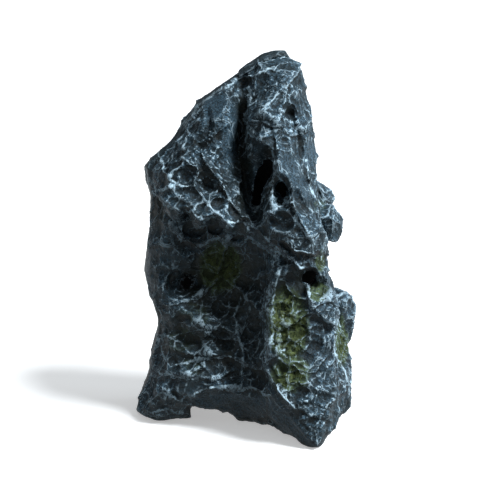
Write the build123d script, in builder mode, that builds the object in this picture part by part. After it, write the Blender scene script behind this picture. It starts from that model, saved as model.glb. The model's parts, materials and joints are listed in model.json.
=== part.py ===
"""Cave ornament for a pond or an aquarium: a hollow rock cast in resin, in bonded shells.

The rock stands in two storeys. The plinth is a front panel with a deep recess, a buttress and a rear
panel. The crag above it overhangs the recess, and is cast as a front and a rear half. Loose stones are
bonded on by spigots, flock pads are glued on for moss, and soft pads stand under the feet.

The frame is +Z up with the origin at the middle of the base. The front faces -Y. Outlines are drawn on
a pattern sheet of its own size and stretched to the driving sizes, so they may be read as millimetres.
"""

import os
from math import cos, hypot, pi, sin

from build123d import *

# Driving sizes of the whole rock
WIDTH = 148.0
DEPTH = 118.0
HEIGHT = 240.0

# Casting and bonding
WALL = 6.0  # thickness of the cast skin
ROOF_EXTRA = 3.0  # the skin is thicker by this under the crown
BOND = 1.0  # thickness of an epoxy line between two castings
SEAM_Y = 17.0  # the front and rear castings meet on this plane
BUTTRESS_X = 14.0  # the buttress and the front panel meet on this plane
JOINT_Z = 131.0  # the crag sits on the plinth at this height, on the Z axis
JOINT_TILT = 15.0  # degrees that the joint drops towards +X

# Feet
PAD_RADIUS = 4.5
PAD_THICKNESS = 2.0
PAD_RECESS = 1.2  # how far a pad is let into its foot
PAD_EDGE = 0.4  # broken edge of a pad
BOSS_RADIUS = 7.5  # solid foot around a pad
BOSS_HEIGHT = 12.0
FOOT_CLEARANCE = 0.1
FOOT_PLACES = {"front_left": (-55, 5), "nose": (43, -45), "rear_right": (52, 40), "rear_left": (-56, 44)}

# Ways into the cave, with the place of each in the front view
DOOR_WIDTH = 46.0
DOOR_HEIGHT = 62.0
DOOR_X = -8.0
ARCH_WIDTH = 18.0
ARCH_HEIGHT = 8.5
ARCH_X = -25.0
SLOT_WIDTH = 8.0
SLOT_LENGTH = 34.0
SLOT_LEAN = 14.0  # degrees from upright
SLOT_PLACE = (11.0, 160.0)
WINDOW_WIDTH = 8.0
WINDOW_LENGTH = 15.0
WINDOW_PLACE = (22.5, 158.0)
BROW_HOLE_RADIUS = 5.5
BROW_HOLE_PLACE = (40.0, 105.0)
RECESS_HOLE_RADIUS = 4.0
RECESS_HOLE_PLACE = (-37.0, 93.0)

# Bonded stones
SPIGOT_RADIUS = 3.0
SPIGOT_CLEARANCE = 0.1
SPIGOT_REACH = 22.0  # from the middle of a stone to the end of its spigot
STONE_SIDES = 8
KNOB_SIZE = (18.0, 19.0, 19.0)  # length out of the rock, breadth and height
LEDGE_SIZE = (24.0, 30.0, 27.0)
LUMP_SIZE = (18.0, 20.0, 20.0)
SLAB_SIZE = (42.0, 26.0, 18.0)
KNOB_PLACE = (53.5, 4, 124)  # raised by WALL, so that its spigot clears the floor of the crag
LEDGE_PLACE = (28, 67)  # depth and height, because the ledge ends flush with the driving width
LUMP_PLACE = (45, 28, 142)
SLAB_PLACE = (9, 24, 226)

# Moss flock
FLOCK = 0.9  # thickness of a flock pad
GLUE = 0.1  # glue line under it

# Patches of moss, as places in the front view or, for the side, in the side view
MOSS_SIDE_X = 42.0  # the side patch lies to the right of this
BUTTRESS_MOSS = ((17, 88), (27, 93), (37, 86), (36, 66), (41, 50), (37, 36), (27, 30), (18, 40), (16, 62))
RECESS_MOSS = ((-31, 97), (-24, 110), (-10, 114), (0, 107), (2, 92), (-6, 80), (-20, 77), (-29, 84))
SIDE_MOSS = ((-13, 78), (2, 80), (10, 66), (6, 50), (-6, 42), (-14, 52))

# Size of the sheet that the outlines are drawn on
PATTERN_WIDTH = 148.0
PATTERN_DEPTH = 118.0
PATTERN_HEIGHT = 240.0

BASE_Z = PAD_THICKNESS - PAD_RECESS  # underside of the castings
REACH = 2 * max(WIDTH, DEPTH, HEIGHT)  # longer than any cut through the rock

# Each level is a height and its outline. Corners run back left, down the left side, along the front
# and up the right side to the back, and every level of one storey has the same corners.
PLINTH_LEVELS = (
    (0, ((-64, 50), (-73, 32), (-74, 14), (-60, -5), (-38, -3), (-14, -1), (5, -5),
         (22, -25), (35, -46), (45, -59), (57, -20), (66, 22), (60, 48), (0, 59))),
    (12, ((-63, 50), (-71, 32), (-69, 13), (-60, -10), (-37, -11), (-12, -14), (6, -18),
          (21, -38), (36, -54), (50, -57), (62, -24), (71, 24), (63, 47), (0, 58))),
    (27, ((-61, 50), (-66, 31), (-61, 12), (-55, -12), (-36, -20), (-10, -26), (8, -32),
          (18, -47), (36, -57), (54, -50), (64, -20), (70, 27), (64, 46), (0, 57))),
    (60, ((-54, 48), (-59, 30), (-54, 10), (-47, -7), (-32, -12), (-10, -14), (10, -20),
          (15, -46), (34, -51), (57, -41), (60, -18), (68, 27), (61, 43), (0, 54))),
    (95, ((-57, 46), (-68, 29), (-64, 9), (-54, -8), (-36, -6), (-14, -5), (11, -11),
          (19, -38), (36, -46), (54, -37), (52, -14), (55, 26), (50, 39), (0, 52))),
    (130, ((-55, 46), (-62, 28), (-58, 8), (-50, -8), (-34, -10), (-12, -12), (12, -19),
           (20, -36), (34, -42), (47, -34), (50, -12), (50, 24), (45, 38), (0, 52))),
    (165, ((-55, 46), (-62, 28), (-58, 8), (-50, -8), (-34, -10), (-12, -12), (12, -19),
           (20, -36), (34, -42), (47, -34), (50, -12), (50, 24), (45, 38), (0, 52))),
)
CRAG_LEVELS = (
    (95, ((-56, 46), (-64, 29), (-60, 9), (-50, -18), (-32, -28), (-13, -32), (5, -30),
          (24, -45), (42, -50), (52, -34), (53, 20), (46, 38), (0, 52))),
    (125, ((-56, 46), (-63, 29), (-59, 10), (-50, -18), (-32, -29), (-13, -33), (5, -29),
           (24, -50), (40, -50), (52, -28), (53, 20), (46, 38), (0, 52))),
    (147, ((-56, 46), (-64, 30), (-58, 11), (-50, -19), (-32, -29), (-13, -32), (4, -18),
           (20, -50), (36, -45), (46, -22), (49, 20), (43, 37), (0, 50))),
    (166, ((-58, 42), (-67, 29), (-61, 14), (-52, -15), (-34, -25), (-12, -26), (1, -6),
           (17, -42), (34, -35), (43, -14), (46, 20), (39, 36), (0, 46))),
    (186, ((-41, 40), (-46, 31), (-41, 16), (-36, -8), (-24, -17), (-9, -17), (-2, 2),
           (12, -32), (31, -23), (42, -4), (47, 18), (38, 34), (0, 42))),
    (208, ((-27, 37), (-31, 30), (-26, 15), (-20, 1), (-12, -6), (-3, -8), (1, 4),
           (11, -22), (29, -15), (39, -1), (43, 17), (35, 30), (4, 37))),
    (226, ((-3, 30), (-6, 26), (-1, 16), (2, 9), (6, 3), (10, -1), (12, 1),
           (17, -8), (28, -6), (35, 3), (38, 14), (31, 24), (12, 30))),
    (236, ((17, 24), (16, 22), (17, 18), (18, 14), (20, 11), (22, 9), (24, 8),
           (26, 7), (28, 8), (30, 11), (30, 15), (27, 20), (22, 24))),
)
ROOF_LEVEL = 208  # the cave stops at this level of the crag

# The cave passes straight behind these corners, so the noses in front of it are cast thicker
PLINTH_SOLID_CORNERS = (7, 9)
CRAG_SOLID_CORNERS = (0, 2, 4, 5, 7, 8)


def at(x, y, z=0.0):
    """A point of the pattern sheet as a point of the rock."""
    return (
        x * WIDTH / PATTERN_WIDTH,
        y * DEPTH / PATTERN_DEPTH,
        BASE_Z + z * (HEIGHT - BASE_Z) / PATTERN_HEIGHT,
    )


def grown(points, amount):
    """A closed outline with every edge moved outwards by amount, or inwards if it is negative."""
    moved = []
    for before, here, after in zip(points[-1:] + points[:-1], points, points[1:] + points[:1]):
        normals = []
        for start, end in ((before, here), (here, after)):
            run, rise = end[0] - start[0], end[1] - start[1]
            length = hypot(run, rise)
            normals.append((rise / length, -run / length))
        (ax, ay), (bx, by) = normals
        spread = max(1 + ax * bx + ay * by, 0.5)
        moved.append((here[0] + amount * (ax + bx) / spread, here[1] + amount * (ay + by) / spread))
    return moved


def stack(levels, growth, left_out=()):
    """A solid through the outlines of some levels, each grown by its own amount, without some corners."""
    with BuildPart() as body:
        for (height, points), amount in zip(levels, growth):
            corners = [at(x, y)[:2] for n, (x, y) in enumerate(points) if n not in left_out]
            with BuildSketch(Plane.XY.offset(at(0, 0, height)[2])):
                with BuildLine():
                    Polyline(*grown(corners, amount), close=True)
                make_face()
        loft(ruled=True)
    return body.part


def kept(solid, plane, side):
    """The part of a solid on one side of a plane."""
    with BuildPart() as piece:
        add(solid)
        split(bisect_by=plane, keep=side)
    return piece.part


def between(solid, plane):
    """The epoxy line of a solid that is parted on a plane."""
    return kept(kept(solid, plane.offset(-BOND / 2), Keep.TOP), plane.offset(BOND / 2), Keep.BOTTOM)


def joint_plane(rise):
    """The tilted plane between plinth and crag, raised along its normal."""
    tilt = JOINT_TILT * pi / 180
    origin = (0, 0, at(0, 0, JOINT_Z)[2])
    return Plane(origin, (cos(tilt), 0, -sin(tilt)), (sin(tilt), 0, cos(tilt))).offset(rise)


def stone(middle, run, size, turn):
    """A faceted stone about a point, with flat ends where its length runs out."""
    length, breadth, height = size
    with BuildPart() as body:
        for share, width in ((-0.5, 0.55), (-0.22, 0.96), (0.2, 1.0), (0.5, 0.5)):
            corners = []
            for n in range(STONE_SIDES):
                angle = 2 * pi * n / STONE_SIDES + turn
                reach = width / 2 * (1 + 0.09 * sin(3 * angle + turn + share))
                corners.append((reach * breadth * cos(angle), reach * height * sin(angle)))
            with BuildSketch(Plane(middle, (0, 1, 0), run).offset(share * length)):
                with BuildLine():
                    Polyline(*corners, close=True)
                make_face()
        loft(ruled=True)
    return body.part


def spigot(middle, out, growth=0.0):
    """A round bar through the middle of a stone and into the rock, grown all over for its socket."""
    with BuildPart() as bar:
        with BuildSketch(Plane(middle, z_dir=out).offset(-SPIGOT_REACH - growth)):
            Circle(SPIGOT_RADIUS + growth)
        extrude(amount=2 * SPIGOT_REACH)
    return bar.part


def bonded(blank, body, shell, bar):
    """A stone cut to the face that it lies on, with its spigot through the skin behind that face."""
    with BuildPart() as piece:
        add(bar)
        add(shell, mode=Mode.INTERSECT)
        add(blank - body)
        split(bisect_by=Plane.XY.offset(HEIGHT), keep=Keep.BOTTOM)
    return piece.part


def flock(outline, view):
    """A thin pad of moss flock over a patch of the plinth, whose outline lies in a view."""
    with BuildPart() as pad:
        add(stack(PLINTH_LEVELS, [GLUE + FLOCK] * len(PLINTH_LEVELS)))
        add(stack(PLINTH_LEVELS, [GLUE] * len(PLINTH_LEVELS)), mode=Mode.SUBTRACT)
        with BuildSketch(view):
            with BuildLine():
                Polyline(*outline, close=True)
            make_face()
        extrude(amount=REACH, mode=Mode.INTERSECT)
    return pad.part


def in_front(x, z):
    """A place in the front view, as local coordinates of FRONT."""
    return (at(x, 0, z)[0], at(x, 0, z)[2])


def from_side(y, z):
    """A place in the side view, as local coordinates of SIDE."""
    return (at(0, y, z)[1], at(0, y, z)[2])


MIDDLE_Y = at(0, SEAM_Y)[1]
SEAM = Plane((0, MIDDLE_Y, 0), (-1, 0, 0), (0, 1, 0))
BUTTRESS = Plane((at(BUTTRESS_X, 0)[0], 0, 0), (0, 1, 0), (1, 0, 0))
FRONT = Plane((0, MIDDLE_Y, 0), (1, 0, 0), (0, -1, 0))
SIDE = Plane((at(MOSS_SIDE_X, 0)[0], 0, 0), (0, 1, 0), (1, 0, 0))

os.makedirs("parts", exist_ok=True)

# The two storeys as closed rocks and the cave inside them
plinth_body = stack(PLINTH_LEVELS, [0] * len(PLINTH_LEVELS))
plinth_cave = stack(PLINTH_LEVELS, [-WALL] * len(PLINTH_LEVELS), PLINTH_SOLID_CORNERS)
crag_body = stack(CRAG_LEVELS, [0] * len(CRAG_LEVELS))
cave_levels = [level for level in CRAG_LEVELS if level[0] <= ROOF_LEVEL]
cave_growth = [-WALL] * (len(cave_levels) - 1) + [-WALL - ROOF_EXTRA]
crag_cave = stack(cave_levels, cave_growth, CRAG_SOLID_CORNERS)

# Each foot is a solid boss with a pocket for a pad
FEET = {name: at(x, y)[:2] for name, (x, y) in FOOT_PLACES.items()}

with BuildPart() as bosses:
    with BuildSketch(Plane.XY.offset(BASE_Z)):
        with Locations(*FEET.values()):
            Circle(BOSS_RADIUS)
    extrude(amount=BOSS_HEIGHT)
    add(plinth_body, mode=Mode.INTERSECT)

with BuildPart() as pockets:
    with BuildSketch(Plane.XY.offset(BASE_Z)):
        with Locations(*FEET.values()):
            Circle(PAD_RADIUS + FOOT_CLEARANCE)
    extrude(amount=PAD_RECESS)

# Both storeys as hollow shells, before they are parted into castings. The bond line between them is
# still part of the plinth here.
with BuildPart() as plinth_shell:
    add(plinth_body)
    add(plinth_cave, mode=Mode.SUBTRACT)
    add(bosses)
    add(pockets, mode=Mode.SUBTRACT)
    split(bisect_by=joint_plane(BOND / 2), keep=Keep.BOTTOM)

with BuildPart() as crag_shell:
    add(kept(crag_body, joint_plane(BOND / 2), Keep.TOP))
    add(kept(crag_cave, joint_plane(BOND / 2 + WALL), Keep.TOP), mode=Mode.SUBTRACT)
    add(kept(plinth_cave, joint_plane(BOND / 2 + WALL), Keep.BOTTOM), mode=Mode.SUBTRACT)

plinth_walls = kept(plinth_shell.part, joint_plane(-BOND / 2), Keep.BOTTOM)
plinth_front = kept(plinth_walls, SEAM.offset(-BOND / 2), Keep.BOTTOM)

# Bonded stones: the middle of each, and the way its spigot comes out of the rock
OUT_RIGHT = (1, 0, 0)
UPWARDS = (0, 0, 1)
SLAB_RUN = (3, 0, 2)  # the crown slab leans up to the right
KNOB_MIDDLE = at(*KNOB_PLACE[:2], KNOB_PLACE[2] + WALL)
LEDGE_MIDDLE = (WIDTH / 2 - LEDGE_SIZE[0] / 2, *at(0, *LEDGE_PLACE)[1:])
LUMP_MIDDLE = at(*LUMP_PLACE)
SLAB_MIDDLE = at(*SLAB_PLACE)

with BuildPart() as sockets:
    add(spigot(KNOB_MIDDLE, OUT_RIGHT, SPIGOT_CLEARANCE))
    add(spigot(LEDGE_MIDDLE, OUT_RIGHT, SPIGOT_CLEARANCE))
    add(spigot(LUMP_MIDDLE, OUT_RIGHT, SPIGOT_CLEARANCE))
    add(spigot(SLAB_MIDDLE, UPWARDS, SPIGOT_CLEARANCE))

knob_blank = stone(KNOB_MIDDLE, OUT_RIGHT, KNOB_SIZE, 0.3)
ledge_blank = stone(LEDGE_MIDDLE, OUT_RIGHT, LEDGE_SIZE, 0.1)
lump_blank = stone(LUMP_MIDDLE, OUT_RIGHT, LUMP_SIZE, 0.7)
slab_blank = stone(SLAB_MIDDLE, SLAB_RUN, SLAB_SIZE, 0.2)

# Castings, each with its own windows
with BuildPart() as front_panel:
    add(kept(plinth_front, BUTTRESS.offset(-BOND / 2), Keep.BOTTOM))
    with BuildSketch(FRONT):
        with Locations(in_front(ARCH_X, 0)):
            Rectangle(ARCH_WIDTH, 2 * (ARCH_HEIGHT + BASE_Z))
        with Locations(in_front(*RECESS_HOLE_PLACE)):
            Circle(RECESS_HOLE_RADIUS)
    extrude(amount=REACH, mode=Mode.SUBTRACT)

with BuildPart() as buttress:
    add(kept(plinth_front, BUTTRESS.offset(BOND / 2), Keep.TOP))
    with BuildSketch(FRONT):
        with Locations(in_front(*BROW_HOLE_PLACE)):
            Circle(BROW_HOLE_RADIUS)
    extrude(amount=REACH, mode=Mode.SUBTRACT)

with BuildPart() as rear_panel:
    add(kept(plinth_walls, SEAM.offset(BOND / 2), Keep.TOP))
    with BuildSketch(SEAM):
        with Locations((-in_front(DOOR_X, 0)[0], DOOR_HEIGHT - DOOR_WIDTH / 2)):
            Circle(DOOR_WIDTH / 2)
            Rectangle(DOOR_WIDTH, DOOR_HEIGHT, align=(Align.CENTER, Align.MAX))
    extrude(amount=REACH, mode=Mode.SUBTRACT)
    add(sockets, mode=Mode.SUBTRACT)

with BuildPart() as crag_front:
    add(kept(crag_shell.part, SEAM.offset(-BOND / 2), Keep.BOTTOM))
    with BuildSketch(FRONT):
        with Locations(in_front(*SLOT_PLACE)):
            SlotOverall(SLOT_LENGTH, SLOT_WIDTH, rotation=90 - SLOT_LEAN)
        with Locations(in_front(*WINDOW_PLACE)):
            SlotOverall(WINDOW_LENGTH, WINDOW_WIDTH, rotation=90 + SLOT_LEAN)
    extrude(amount=REACH, mode=Mode.SUBTRACT)
    add(sockets, mode=Mode.SUBTRACT)

with BuildPart() as crag_rear:
    add(kept(crag_shell.part, SEAM.offset(BOND / 2), Keep.TOP))
    add(sockets, mode=Mode.SUBTRACT)

pieces = {
    "front_panel": front_panel.part,
    "buttress": buttress.part,
    "rear_panel": rear_panel.part,
    "crag_front": crag_front.part,
    "crag_rear": crag_rear.part,
    # Epoxy lines
    "crag_bond": kept(plinth_shell.part, joint_plane(-BOND / 2), Keep.TOP),
    "plinth_seam": between(plinth_walls, SEAM),
    "crag_seam": between(crag_shell.part, SEAM),
    "buttress_bond": between(plinth_front, BUTTRESS),
    # Bonded stones
    "side_knob": bonded(knob_blank, crag_body, crag_shell.part, spigot(KNOB_MIDDLE, OUT_RIGHT)),
    "side_ledge": bonded(ledge_blank, plinth_body, plinth_walls, spigot(LEDGE_MIDDLE, OUT_RIGHT)),
    "rear_lump": bonded(lump_blank, crag_body, crag_shell.part, spigot(LUMP_MIDDLE, OUT_RIGHT)),
    "crown_slab": bonded(slab_blank, crag_body, crag_shell.part, spigot(SLAB_MIDDLE, UPWARDS)),
    # Moss flock, cut to patches of the plinth
    "buttress_moss": flock([in_front(x, z) for x, z in BUTTRESS_MOSS], FRONT),
    "recess_moss": flock([in_front(x, z) for x, z in RECESS_MOSS], FRONT),
    "side_moss": flock([from_side(y, z) for y, z in SIDE_MOSS], SIDE),
}

for name, (x, y) in FEET.items():
    with BuildPart() as pad:
        with BuildSketch(Plane((x, y, 0))):
            Circle(PAD_RADIUS)
        extrude(amount=PAD_THICKNESS)
        chamfer(pad.edges().group_by(Axis.Z)[0], PAD_EDGE)
    pieces["pad_" + name] = pad.part

for name, piece in pieces.items():
    piece.label = name
    export_step(piece, f"parts/{name}.step")
    print(f"{name}: {len(piece.solids())} solid(s), {piece.volume:.0f} mm3")
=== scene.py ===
"""Looks of a cave ornament: a hollow rock of bonded resin castings, stones, moss flock and soft feet.

The castings are cut from one carved rock, so the relief runs across their seams. The rock is remeshed
from the solids of the frame, carved by listed marks, given its relief by a rule, and parted on the
planes where the solids meet. Lengths named in this file are millimetres, and meshes are in metres.
"""

import json
import logging
import math
from dataclasses import dataclass, field
from enum import Enum

import bmesh
import bpy
import numpy as np
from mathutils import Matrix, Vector, noise


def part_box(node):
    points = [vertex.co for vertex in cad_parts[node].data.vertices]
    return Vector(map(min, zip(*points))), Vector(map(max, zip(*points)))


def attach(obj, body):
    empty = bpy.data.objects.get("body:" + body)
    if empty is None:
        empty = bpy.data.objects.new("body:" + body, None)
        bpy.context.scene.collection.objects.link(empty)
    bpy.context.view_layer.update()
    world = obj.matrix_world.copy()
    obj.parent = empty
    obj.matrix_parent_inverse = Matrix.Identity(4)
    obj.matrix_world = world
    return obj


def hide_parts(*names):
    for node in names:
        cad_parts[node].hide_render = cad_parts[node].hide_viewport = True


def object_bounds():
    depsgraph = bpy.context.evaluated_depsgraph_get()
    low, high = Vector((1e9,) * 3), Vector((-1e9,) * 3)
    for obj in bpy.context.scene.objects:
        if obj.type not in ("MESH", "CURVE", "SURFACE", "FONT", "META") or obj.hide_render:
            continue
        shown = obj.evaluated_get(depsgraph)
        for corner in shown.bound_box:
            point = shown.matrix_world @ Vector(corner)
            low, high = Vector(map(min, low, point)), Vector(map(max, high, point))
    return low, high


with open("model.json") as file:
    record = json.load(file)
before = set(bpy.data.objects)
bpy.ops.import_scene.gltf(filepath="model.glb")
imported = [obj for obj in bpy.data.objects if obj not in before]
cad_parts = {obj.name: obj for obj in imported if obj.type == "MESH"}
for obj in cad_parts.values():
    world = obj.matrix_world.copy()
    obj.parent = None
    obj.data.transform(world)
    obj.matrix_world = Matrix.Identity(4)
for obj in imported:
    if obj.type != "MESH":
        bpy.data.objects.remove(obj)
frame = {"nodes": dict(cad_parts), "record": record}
CAD_BOX = [list(corner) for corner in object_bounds()]

LOG = logging.getLogger("cave_ornament")
MM = 0.001
BODY = "root"
LARGE_CELL, MEDIUM_CELL, SMALL_CELL = 21.0, 9.5, 4.0  # sizes of the bowls in the relief
EDGE_REACH = 4.0  # how far from a brushed line its distance is still stored
BOX_SPARE = 0.05  # how far the skin stays inside the box of the solids
CUTTER_SIZE = 600.0  # side of an uncut cutting block, larger than the rock
LEAST_FELT = 60  # patches of felt with fewer faces are dropped

Socket = bpy.types.NodeSocket
Points = tuple[tuple[float, float], ...]


# ---------------------------------------------------------------------------------------------------
# The front view, in which the marks are laid out
# ---------------------------------------------------------------------------------------------------


@dataclass(frozen=True)
class FrontView:
    """The viewpoint in front of the rock. Marks are placed in millimetres across and up from its aim.

    Attributes:
        distance: From the eye to the aim.
        elevation: Degrees above the horizon.
        aim: The point looked at.
    """

    distance: float = 850.0
    elevation: float = 12.0
    aim: tuple[float, float, float] = (3.5, 0.0, 115.0)

    def eye(self) -> np.ndarray:
        """The viewpoint, in millimetres."""
        tilt = math.radians(self.elevation)
        return np.array(self.aim) + self.distance * np.array([0.0, -math.cos(tilt), math.sin(tilt)])

    def spread(self, places: np.ndarray) -> tuple[np.ndarray, np.ndarray, np.ndarray]:
        """Where places lie in the view.

        Args:
            places: Points in millimetres, one row each.

        Returns:
            Millimetres across, millimetres up, and the unit directions from each place to the eye.
        """
        tilt = math.radians(self.elevation)
        ahead = np.array([0.0, math.cos(tilt), -math.sin(tilt)])
        upward = np.array([0.0, math.sin(tilt), math.cos(tilt)])
        away = places - self.eye()
        depth = away @ ahead
        across = away[:, 0] * self.distance / depth
        up = (away @ upward) * self.distance / depth
        towards = -away / np.linalg.norm(away, axis=1)[:, None]
        return across, up, towards


VIEW = FrontView()


def smooth(low: float, high: float, value: np.ndarray) -> np.ndarray:
    """A smooth step from 0 at low to 1 at high."""
    t = np.clip((value - low) / (high - low), 0.0, 1.0)
    return t * t * (3.0 - 2.0 * t)


def oval(
    across: np.ndarray, up: np.ndarray, middle: tuple[float, float], radii: tuple[float, float], lean: float
) -> np.ndarray:
    """How far places in the front view lie from the middle of an oval, where 1 is its edge.

    Args:
        across: Millimetres across.
        up: Millimetres up.
        middle: The oval's middle.
        radii: Its radius across and its radius up.
        lean: Degrees that it is turned anticlockwise.

    Returns:
        The distances.
    """
    turn = math.radians(lean)
    x, y = across - middle[0], up - middle[1]
    along = (x * math.cos(turn) + y * math.sin(turn)) / radii[0]
    aside = (y * math.cos(turn) - x * math.sin(turn)) / radii[1]
    return np.hypot(along, aside)


def dots(first: np.ndarray, second: np.ndarray) -> np.ndarray:
    """The dot product of each row of one array with the same row of another."""
    return np.einsum("ij,ij->i", first, second)


# ---------------------------------------------------------------------------------------------------
# Marks: carving listed one by one
# ---------------------------------------------------------------------------------------------------


class Tool(Enum):
    """How a mark shapes the skin."""

    RIDGE = "raises a sharp crest along a line"
    GROOVE = "cuts a rounded furrow along a line"
    SCOOP = "cuts a bowl with a raised rim"
    BUMP = "raises a dome"
    LEDGE = "raises the ground on the left of a line, which falls away from it"


@dataclass(frozen=True)
class Mark:
    """One stroke of carving in the front view.

    Attributes:
        tool: The kind of stroke.
        points: A line's points, or the one middle of a scoop or bump.
        depth: Height or depth at its strongest.
        reach: Half width of a line, or the radius across of a scoop or bump.
        tall: Radius up of a scoop or bump, as a share of its reach.
        lean: Degrees that a scoop or bump is turned anticlockwise.
    """

    tool: Tool
    points: Points
    depth: float
    reach: float
    tall: float = 1.0
    lean: float = 0.0

    def height(self, across: np.ndarray, up: np.ndarray) -> np.ndarray:
        """Height of the stroke at places in the front view, towards the viewer.

        Args:
            across: Millimetres across.
            up: Millimetres up.

        Returns:
            Millimetres of height, negative where the stroke cuts.
        """
        if self.tool in (Tool.SCOOP, Tool.BUMP):
            radius = oval(across, up, self.points[0], (self.reach, self.reach * self.tall), self.lean)
            dome = np.clip(1.0 - radius**2, 0.0, 1.0)
            if self.tool is Tool.BUMP:
                return self.depth * dome**1.3
            rim = 0.28 * np.exp(-(((radius - 1.08) / 0.16) ** 2))
            return self.depth * (rim - dome)
        distance, side = line_distance(self.points, across, up)
        share = np.clip(1.0 - distance / self.reach, 0.0, 1.0)
        if self.tool is Tool.RIDGE:
            return self.depth * share**1.6
        if self.tool is Tool.GROOVE:
            return -self.depth * smooth(0.0, 1.0, share)
        return self.depth * share * smooth(-0.5, 0.5, side * np.minimum(distance, 1.0))


def line_distance(points: Points, across: np.ndarray, up: np.ndarray) -> tuple[np.ndarray, np.ndarray]:
    """Distance from places to a line of points.

    Args:
        points: The line's points.
        across: Millimetres across.
        up: Millimetres up.

    Returns:
        The distances, and 1 where a place lies left of the line's run or -1 where it lies right.
    """
    best = np.full(across.shape, 1e9)
    side = np.ones(across.shape)
    for (ax, ay), (bx, by) in zip(points[:-1], points[1:]):
        run, rise = bx - ax, by - ay
        t = np.clip(((across - ax) * run + (up - ay) * rise) / (run * run + rise * rise), 0.0, 1.0)
        off_x, off_y = across - (ax + t * run), up - (ay + t * rise)
        distance = np.hypot(off_x, off_y)
        nearer = distance < best
        best = np.where(nearer, distance, best)
        side = np.where(nearer, np.sign(run * off_y - rise * off_x), side)
    return best, side


@dataclass(frozen=True)
class Patch:
    """A soft oval in the front view, for moss, smoothness, paint or painted shade.

    Attributes:
        middle: Its middle.
        reach: Radius across.
        tall: Radius up.
        strength: Value at the middle.
        lean: Degrees that it is turned anticlockwise.
    """

    middle: tuple[float, float]
    reach: float
    tall: float
    strength: float = 1.0
    lean: float = 0.0

    def value(self, across: np.ndarray, up: np.ndarray) -> np.ndarray:
        """The patch's value at places in the front view."""
        return self.strength * smooth(1.25, 0.55, oval(across, up, self.middle, (self.reach, self.tall), self.lean))


# Lines that are both carved and brushed
BROW_LEFT: Points = ((-68, 56), (-65, 38), (-54, 30), (-46, 25), (-34, 22), (-16, 19), (2, 17))
BROW_RIGHT: Points = ((-2, 18), (8, 10), (20, -2), (32, -10), (44, -16))
FOLD: Points = ((-30, 58), (-20, 44), (-12, 30), (-4, 22))
CREASE: Points = ((16, -16), (13, -28), (11, -40), (11, -54), (8, -66), (9, -76), (14, -86), (20, -95))

CRAG_MARKS = (
    # The cleft, its right lip, and the wedge-shaped slot below it
    Mark(Tool.GROOVE, ((-4, 108), (-6, 93), (-5, 80), (-7, 64), (-5, 48), (-2, 35), (2, 22)), 10.0, 8.5),
    Mark(Tool.LEDGE, ((-3, 112), (-1, 95), (-4, 83), (2, 75), (8, 68), (14, 64), (16, 52)), 3.5, 10.0),
    Mark(Tool.GROOVE, ((13, 60), (9, 42), (4, 22)), 6.0, 7.5),
    Mark(Tool.LEDGE, ((14, 62), (16, 50), (13, 38), (10, 24)), 2.0, 8.0),
    # The upper right of the crag
    Mark(Tool.SCOOP, ((8.5, 79.5),), 3.2, 8.0, 0.8, -15),
    Mark(Tool.SCOOP, ((25.5, 88),), 5.0, 5.0, 1.4, 20),
    Mark(Tool.GROOVE, ((25, 86), (30, 74), (32, 64), (35, 52), (36, 44)), 5.0, 4.5),
    Mark(Tool.SCOOP, ((38, 63),), 2.2, 6.0, 1.5, 5),
    Mark(Tool.LEDGE, ((37, 76), (34, 66), (34, 52), (38, 46)), 2.0, 6.0),
    Mark(Tool.RIDGE, ((20, 108), (22, 98), (19, 90), (17, 82)), 2.0, 6.0),
    # The smooth slab that runs down to the right, its left crest, the furrow across it and the small cave
    Mark(Tool.LEDGE, ((16, 70), (18, 48), (24, 35), (30, 22), (38, 8)), 3.0, 11.0),
    Mark(Tool.SCOOP, ((19, 38),), 5.0, 8.0, 1.4, 12),
    Mark(Tool.SCOOP, ((20, 18),), 4.5, 8.0, 0.8, -10),
    Mark(Tool.GROOVE, ((29, 37), (33, 30), (37, 23)), 3.5, 3.5),
    # The left of the crag: a smooth facet, a knob, and scallops down to the brow
    Mark(Tool.BUMP, ((-32, 80),), 3.5, 7.0),
    Mark(Tool.SCOOP, ((-25, 96),), 2.2, 9.0, 1.3, -25),
    Mark(Tool.GROOVE, ((-27, 88), (-25, 80), (-28, 74), (-34, 70)), 3.5, 3.5),
    Mark(Tool.LEDGE, ((-46, 62), (-36, 68), (-26, 70), (-16, 78)), 2.5, 9.0),
    Mark(Tool.SCOOP, ((-28, 42),), 3.5, 6.0, 1.3, 25),
    Mark(Tool.SCOOP, ((-43, 47),), 4.0, 10.0, 0.6, 30),
    Mark(Tool.SCOOP, ((-59, 43),), 3.0, 8.0, 0.8, 10),
    Mark(Tool.SCOOP, ((-22, 28),), 2.5, 7.0, 0.7, 20),
    Mark(Tool.LEDGE, BROW_LEFT, 5.0, 13.0),
    Mark(Tool.LEDGE, FOLD, 3.0, 9.0),
    # The brow on the right
    Mark(Tool.LEDGE, BROW_RIGHT, 4.0, 12.0),
    Mark(Tool.RIDGE, ((-20, 102), (-8, 110), (8, 115), (16, 118), (21, 123)), 2.0, 4.0),
)
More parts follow.
